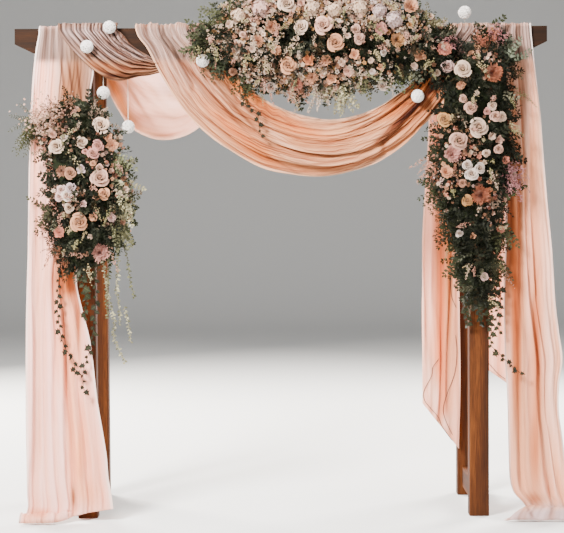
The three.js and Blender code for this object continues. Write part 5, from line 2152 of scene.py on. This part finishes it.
    def tufts(self) -> dict[str, tuple[Tuft, ...]]:
        """Stems that break the garlands' outlines.

        Returns:
            Those of each garland, by its name.
        """
        cream, blush, pink, fawn = (90, 84, 76), (91, 77, 72), (86, 60, 62), (72, 68, 54)
        olive, grey, deep = (30, 30, 20), (58, 56, 42), (20, 22, 15)
        return {
            "left_garland": (
                Tuft(-1105, 1815, (-0.62, -0.45), 135, 26, FERN, (27, 26, 14), 0.42, 0.6),
                Tuft(-1060, 1770, (-0.05, 0.8), 170, 22, FILLER, (82, 70, 65), 0.3),
                Tuft(-1030, 1810, (-0.1, 0.8), 160, 20, FILLER, (74, 62, 56)),
                Tuft(-960, 1850, (-0.1, 0.9), 120, 10, PLUME, (62, 46, 36)),
                Tuft(-850, 1840, (0.3, 0.7), 110, 9, PLUME, (74, 66, 58)),
                Tuft(-755, 1660, (0.35, -0.6), 95, 16, LEAFY, (52, 52, 38), 0.4, 0.5),
                Tuft(-740, 1560, (0.30, -0.8), 105, 20, LEAFY, fawn, 0.35, 0.5),
                Tuft(-735, 1460, (0.25, -0.9), 110, 22, LEAFY, fawn, 0.35, 0.4),
                Tuft(-755, 1360, (0.15, -0.9), 110, 18, LEAFY, grey, 0.35, 0.4),
                Tuft(-1020, 1430, (-0.4, -0.6), 110, 9, LEAFY, (26, 24, 17)),
                Tuft(-1010, 1300, (-0.2, -0.8), 120, 8, PLUME, (74, 50, 38), 0.3)),
            "right_garland": (
                Tuft(930, 2130, (-0.25, 0.9), 150, 9, PLUME, (70, 42, 32), 0.3, 0.1),
                Tuft(960, 2140, (0.2, 0.9), 130, 8, PLUME, pink, 0.3, 0.1),
                Tuft(1000, 2080, (0.6, 0.4), 120, 12, LEAFY, (44, 46, 39)),
                Tuft(1020, 1640, (0.25, -0.5), 140, 10, PLUME, (84, 61, 63), 0.22, 0.2),
                Tuft(1020, 1560, (0.3, -0.6), 120, 8, PLUME, pink, 0.25, 0.2),
                Tuft(700, 1640, (-0.4, -0.4), 110, 9, PLUME, (86, 68, 60), 0.35),
                Tuft(720, 1500, (-0.4, -0.5), 110, 10, LEAFY, deep),
                Tuft(980, 1360, (0.3, -0.7), 130, 12, LEAFY, olive),
                Tuft(960, 1200, (0.2, -0.8), 130, 10, LEAFY, (38, 36, 27), 0.3),
                Tuft(830, 1200, (-0.2, -0.8), 120, 9, LEAFY, deep, 0.3)),
            "top_garland": (
                Tuft(-320, 2180, (-0.7, 0.1), 130, 14, LEAFY, (26, 27, 18), 0.5),
                Tuft(-230, 2270, (-0.6, 0.5), 120, 12, LEAFY, olive, 0.5),
                Tuft(-260, 2110, (-0.5, -0.5), 120, 12, LEAFY, deep, 0.5),
                Tuft(-130, 2000, (0.0, -0.8), 110, 10, LEAFY, olive, 0.5),
                Tuft(60, 2010, (0.0, -0.8), 110, 12, PLUME, (90, 68, 58), 0.45, 0.1),
                Tuft(180, 1990, (0.1, -0.8), 120, 12, PLUME, cream, 0.45, 0.1),
                Tuft(270, 1990, (0.1, -0.8), 120, 14, LEAFY, fawn, 0.5),
                Tuft(370, 2020, (0.2, -0.7), 110, 12, LEAFY, grey, 0.5),
                Tuft(520, 2050, (0.2, -0.6), 100, 10, LEAFY, (34, 36, 24), 0.5),
                Tuft(-80, 2340, (-0.3, 0.8), 110, 12, FILLER, blush),
                Tuft(120, 2380, (0.0, 0.9), 90, 14, FILLER, cream),
                Tuft(300, 2370, (0.1, 0.9), 90, 14, FILLER, blush),
                Tuft(460, 2340, (0.2, 0.8), 100, 12, FILLER, (86, 82, 86)),
                Tuft(640, 2240, (0.6, 0.4), 110, 12, LEAFY, (40, 36, 26), 0.5),
                Tuft(700, 2160, (0.6, 0.2), 90, 9, PLUME, pink))}

    def build(self) -> None:
        """Makes the garlands, their loose stems, the vines, and the two blocks' finish and leaves."""
        moss, leaf, petal = MossFinish().material(), LeafFinish().material(), PetalFinish().material()
        for garland in self.garlands():
            garland.build(moss, leaf, petal)
            made = [tuft.patches(self.tuft_seed + 31 * k + garland.seed, garland.shape)
                    for k, tuft in enumerate(self.tufts()[garland.name])]
            for part, look, slot, which in (("stems", leaf, "greenery", 0), ("flowers", petal, "petals", 1)):
                patch = Patch.joined([piece for pair in made for piece in pair[which]])
                make_piece(f"{garland.name}_loose_{part}", patch.pressed(), look)
        for side, stems in self.vines().items():
            patch = Patch.joined([vine.patch(self.vine_seed + 10 * k + len(side)) for k, vine in enumerate(stems)])
            nodes = () if side == "top" else (f"{side}_trailing_greens",)
            make_piece(f"{side}_trailing_stems", patch, leaf, nodes)
        for side in ("top", "right"):
            dress_node(f"{side}_flower_base", moss)
            leaves = block_leaves(f"{side}_flower_base", len(side)).pressed()
            make_piece(f"{side}_base_leaves", leaves, leaf)


# ---------------------------------------------------------------- thread balls and timber


@dataclass
class ThreadBalls:
    """Openwork balls of stiffened thread: pinned to the cloth, hung from the beam, or set on a wire.

    `strand` and `thread` are radii, of the balls' strands and of what they hang from. A strand's circle
    lies up to `off_centre` of its radius beside the middle. A pinned ball sinks `sunk_in` into the cloth.
    """

    drapery: Drapery
    radius: float = 0.0315
    strand: float = 0.00135
    thread: float = 0.001
    circles: int = 44
    segments: int = 26
    off_centre: float = 0.35
    sunk_in: float = 0.002
    seed: int = 500
    white: Colour = (98, 96, 94.5)
    pinned_to: tuple[tuple[int, str], ...] = ((1, "left_corner_swag_scarf"), (2, "left_corner_swag_scarf"),
                                              (3, "main_swag_scarf"), (4, "main_swag_scarf"))
    hung_balls: tuple[int, ...] = (5, 6)
    wire_ball: int = 7

    def ball(self, number: int, centre: Array, finish: Material, *others: Patch) -> bpy.types.Object:
        """Strands that each follow a near great circle: centre + radius * (cos a x + sin a y + lift z).

        Args:
            number: which ball.
            centre: its middle.
            finish: its material.
            others: patches that belong to its piece too.

        Returns:
            The piece.
        """
        draw = np.random.default_rng(self.seed + number)
        tint, angle = linear(self.white), np.linspace(0, TURN, self.segments, endpoint=False)[:, None]
        strands = []
        for _ in range(self.circles):
            axis = unit(draw.normal(size=3))
            side = unit(np.cross(axis, draw.normal(size=3)))
            lift = draw.uniform(-self.off_centre, self.off_centre)
            reach = (self.radius - 2 * self.strand) * draw.uniform(0.95, 1.0)
            ring = math.sqrt(1 - lift * lift) * (np.cos(angle) * side + np.sin(angle) * np.cross(axis, side))
            strands.append(tube(centre + reach * (ring + lift * axis), self.strand, 3,
                                tint * draw.uniform(0.88, 1.04), closed=True))
        return make_piece(f"thread_ball_{number}_strands", Patch.joined([*strands, *others]), finish,
                          (f"thread_ball_{number}",))

    def resting(self, centre: Array, cloth: Cloth) -> Array:
        """Moves a ball along Y to where it just touches the cloth behind it.

        Args:
            centre: its middle.
            cloth: what it is pinned to, already built.

        Returns:
            Its new middle.
        """
        points = cloth.points.reshape(-1, 3)
        off = (points[:, 0] - centre[0]) ** 2 + (points[:, 2] - centre[2]) ** 2
        near = off < self.radius ** 2
        y = (points[near, 1] - np.sqrt(self.radius ** 2 - off[near])).min()
        return np.array([centre[0], y + self.sunk_in, centre[2]])

    def build(self) -> None:
        """Makes every ball, and the thread or wire of those that have one."""
        finish = ThreadFinish().material()
        boxes = {number: np.array(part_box(f"thread_ball_{number}")) - MIDDLE for number in range(1, 8)}
        for number, cloth in self.pinned_to:
            self.ball(number, self.resting(boxes[number].mean(0), self.drapery.made[cloth]), finish)
        for number in self.hung_balls:
            self.hung(number, boxes[number], finish)
        low, high = boxes[self.wire_ball]
        x, y = (low + high)[:2] / 2
        centre = np.array([x, y, high[2] - self.radius])
        z = np.linspace(low[2], centre[2] - 0.5 * self.radius, 8)
        wire = tube(np.stack(np.broadcast_arrays(x, y, z), -1), self.thread, 6, linear((55, 52, 48)))
        self.ball(self.wire_ball, centre, finish, wire)

    def hung(self, number: int, box: Array, finish: Material) -> None:
        """A ball on a thread from the front beam's underside, tied off under the ball.

        Thread: x = the ball's x + 0.6 mm * a sine of three radians from end to end.

        Args:
            number: which ball.
            box: its node's box, the thread's knot at its bottom.
            finish: the material of both.
        """
        x, y = box.mean(0)[:2]
        end = box[0, 2]
        ball = self.ball(number, np.array([x, y, end + self.radius]), finish)
        z = np.concatenate([[BEAM_UNDERSIDE], np.linspace(BEAM_UNDERSIDE - 0.0004, end + 0.0004, 58), [end]])
        path = np.stack(np.broadcast_arrays(x + 0.0006 * np.sin(np.linspace(0, 3, 60)), y, z), -1)
        cord = make_piece(f"ball_thread_{number}", tube(path, self.thread, 6, linear((93, 90, 86))), finish,
                          (), 1e-4)
        world = path + MIDDLE
        float(run(path)[-1])


def dress_node(node: str, material: Material) -> None:
    """Gives a CAD node's object this one material.

    Args:
        node: its name.
        material: what it gets.
    """
    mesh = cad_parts[node].data
    mesh.materials.clear()
    mesh.materials.append(material)
    log.info("%s dressed", node)


@dataclass
class TimberFrame:
    """The posts, beams and rails, each with its own board of stained softwood."""

    posts: tuple[str, ...] = ("front_left_post", "front_right_post", "rear_left_post", "rear_right_post")
    beams: tuple[str, ...] = ("front_beam", "rear_beam")
    rails: tuple[str, ...] = ("left_foot_rail", "left_top_rail", "right_foot_rail", "right_top_rail")
    beam_stain: tuple[Colour, ...] = ((26, 14.5, 6.5), (15, 8.2, 3.8), (7, 3.7, 1.8))
    heart_wanders: float = 0.05

    def build(self) -> None:
        """Dresses each timber with grain along its length about its own heart."""
        draw = np.random.default_rng(1)
        for nodes, grain in ((self.posts, Grain.ALONG_Z), (self.beams, Grain.ALONG_X), (self.rails, Grain.ALONG_Y)):
            stain = self.beam_stain if grain is Grain.ALONG_X else ()
            for node in nodes:
                middle = np.array(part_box(node)).mean(0)
                wander = draw.uniform(-self.heart_wanders, self.heart_wanders, 3)
                heart = -middle * np.array(grain.value) + wander
                dress_node(node, TimberFinish(f"timber_{node}", grain, tuple(heart), *stain).material())


# ---------------------------------------------------------------- stage


@dataclass(frozen=True)
class Studio:
    """The camera at the photograph's angle, soft lights and a plain pale floor.

    The horizon lies `horizon_pixels` above the picture's middle. The floor is level up to `floor_bend`
    behind the middle of the posts, and `floor_gap` lower than their feet.
    """

    eye: Row = (-0.001, -8.745, 1.5295)
    focal_pixels: float = 1832.0
    image_width: float = 564.0
    horizon_pixels: float = 80.5
    roll: float = math.radians(0.35)
    sky: Row = (0.91, 0.92, 0.93, 1.0)
    sky_strength: float = 0.29
    floor_side: float = 22.0
    floor_bend: float = 11.0
    floor_rise: float = 0.13
    floor_gap: float = 0.0006

    def camera(self) -> None:
        """Aims the camera: forward is level Y pitched down, then the picture is rolled a little."""
        pitch = math.atan(self.horizon_pixels / self.focal_pixels)
        right, forward = np.array([1.0, 0, 0]), np.array([0, math.cos(pitch), -math.sin(pitch)])
        up = np.cross(right, forward)
        c, s = math.cos(self.roll), math.sin(self.roll)
        lens = bpy.data.cameras.new("camera")
        lens.sensor_fit = "HORIZONTAL"
        lens.lens = self.focal_pixels / self.image_width * lens.sensor_width
        lens.clip_end = 100.0
        axes = np.stack([c * right - s * up, s * right + c * up, -forward], 1)
        bpy.context.scene.camera = linked("camera", lens, axes, np.array(self.eye) + MIDDLE)

    def lights(self) -> None:
        """A high soft key in front, a fill, and light from behind that the cloth lets through.

        Each looks at its aim, a height over the middle of the posts.
        """
        for name, place, aim, size, power, colour in (
                ("key", (-3.0, -4.6, 4.8), 1.3, 1.6, 1830, (1.0, 0.985, 0.96)),
                ("fill", (4.2, -4.5, 2.6), 1.2, 3.6, 190, (0.98, 0.99, 1.0)),
                ("behind_left", (-3.6, 4.6, 3.4), 1.4, 2.4, 1800, (1.0, 0.95, 0.88)),
                ("behind_right", (3.8, 4.2, 3.0), 1.3, 2.4, 1300, (1.0, 0.96, 0.91)),
                ("overhead", (0, 0.2, 5.6), 0.0, 4.0, 240, (1.0, 1.0, 1.0))):
            light = bpy.data.lights.new(name, "AREA")
            light.size, light.energy, light.color = size, power, colour
            back = unit(np.array(place) - (0, 0, aim))
            side = unit(np.cross([0, 0, 1.0], back))
            linked(name, light, np.stack([side, np.cross(back, side), back], 1), np.array(place) + MIDDLE)
        world = bpy.data.worlds.new("studio")
        world.use_nodes = True
        sky = world.node_tree.nodes["Background"].inputs
        sky["Color"].default_value, sky["Strength"].default_value = self.sky, self.sky_strength
        bpy.context.scene.world = world

    def floor(self) -> None:
        """A plain pale floor that curves up far behind: height = rise * (y past its bend) squared."""
        x, y = np.meshgrid(np.linspace(-self.floor_side, self.floor_side, 9), np.linspace(-16, 24, 60),
                           indexing="ij")
        height = np.clip(y - self.floor_bend, 0, None) ** 2 * self.floor_rise - self.floor_gap
        points = np.stack([x, y, height], -1)
        finish = FinishBench("floor").finished((0.66, 0.655, 0.64, 1), 0.9)
        linked("floor", make_mesh("floor", Patch.grid(points, np.ones(3)), finish))

    def build(self) -> None:
        """Sets the camera, the lights and the floor."""
        self.camera()
        self.lights()
        self.floor()


def main() -> None:
    """Builds the canopy's pieces in order."""
    Studio().build()
    TimberFrame().build()
    drapery = Drapery()
    drapery.build()
    ThreadBalls(drapery).build()
    Flowers().build()


if __name__ == "__main__":
    main()
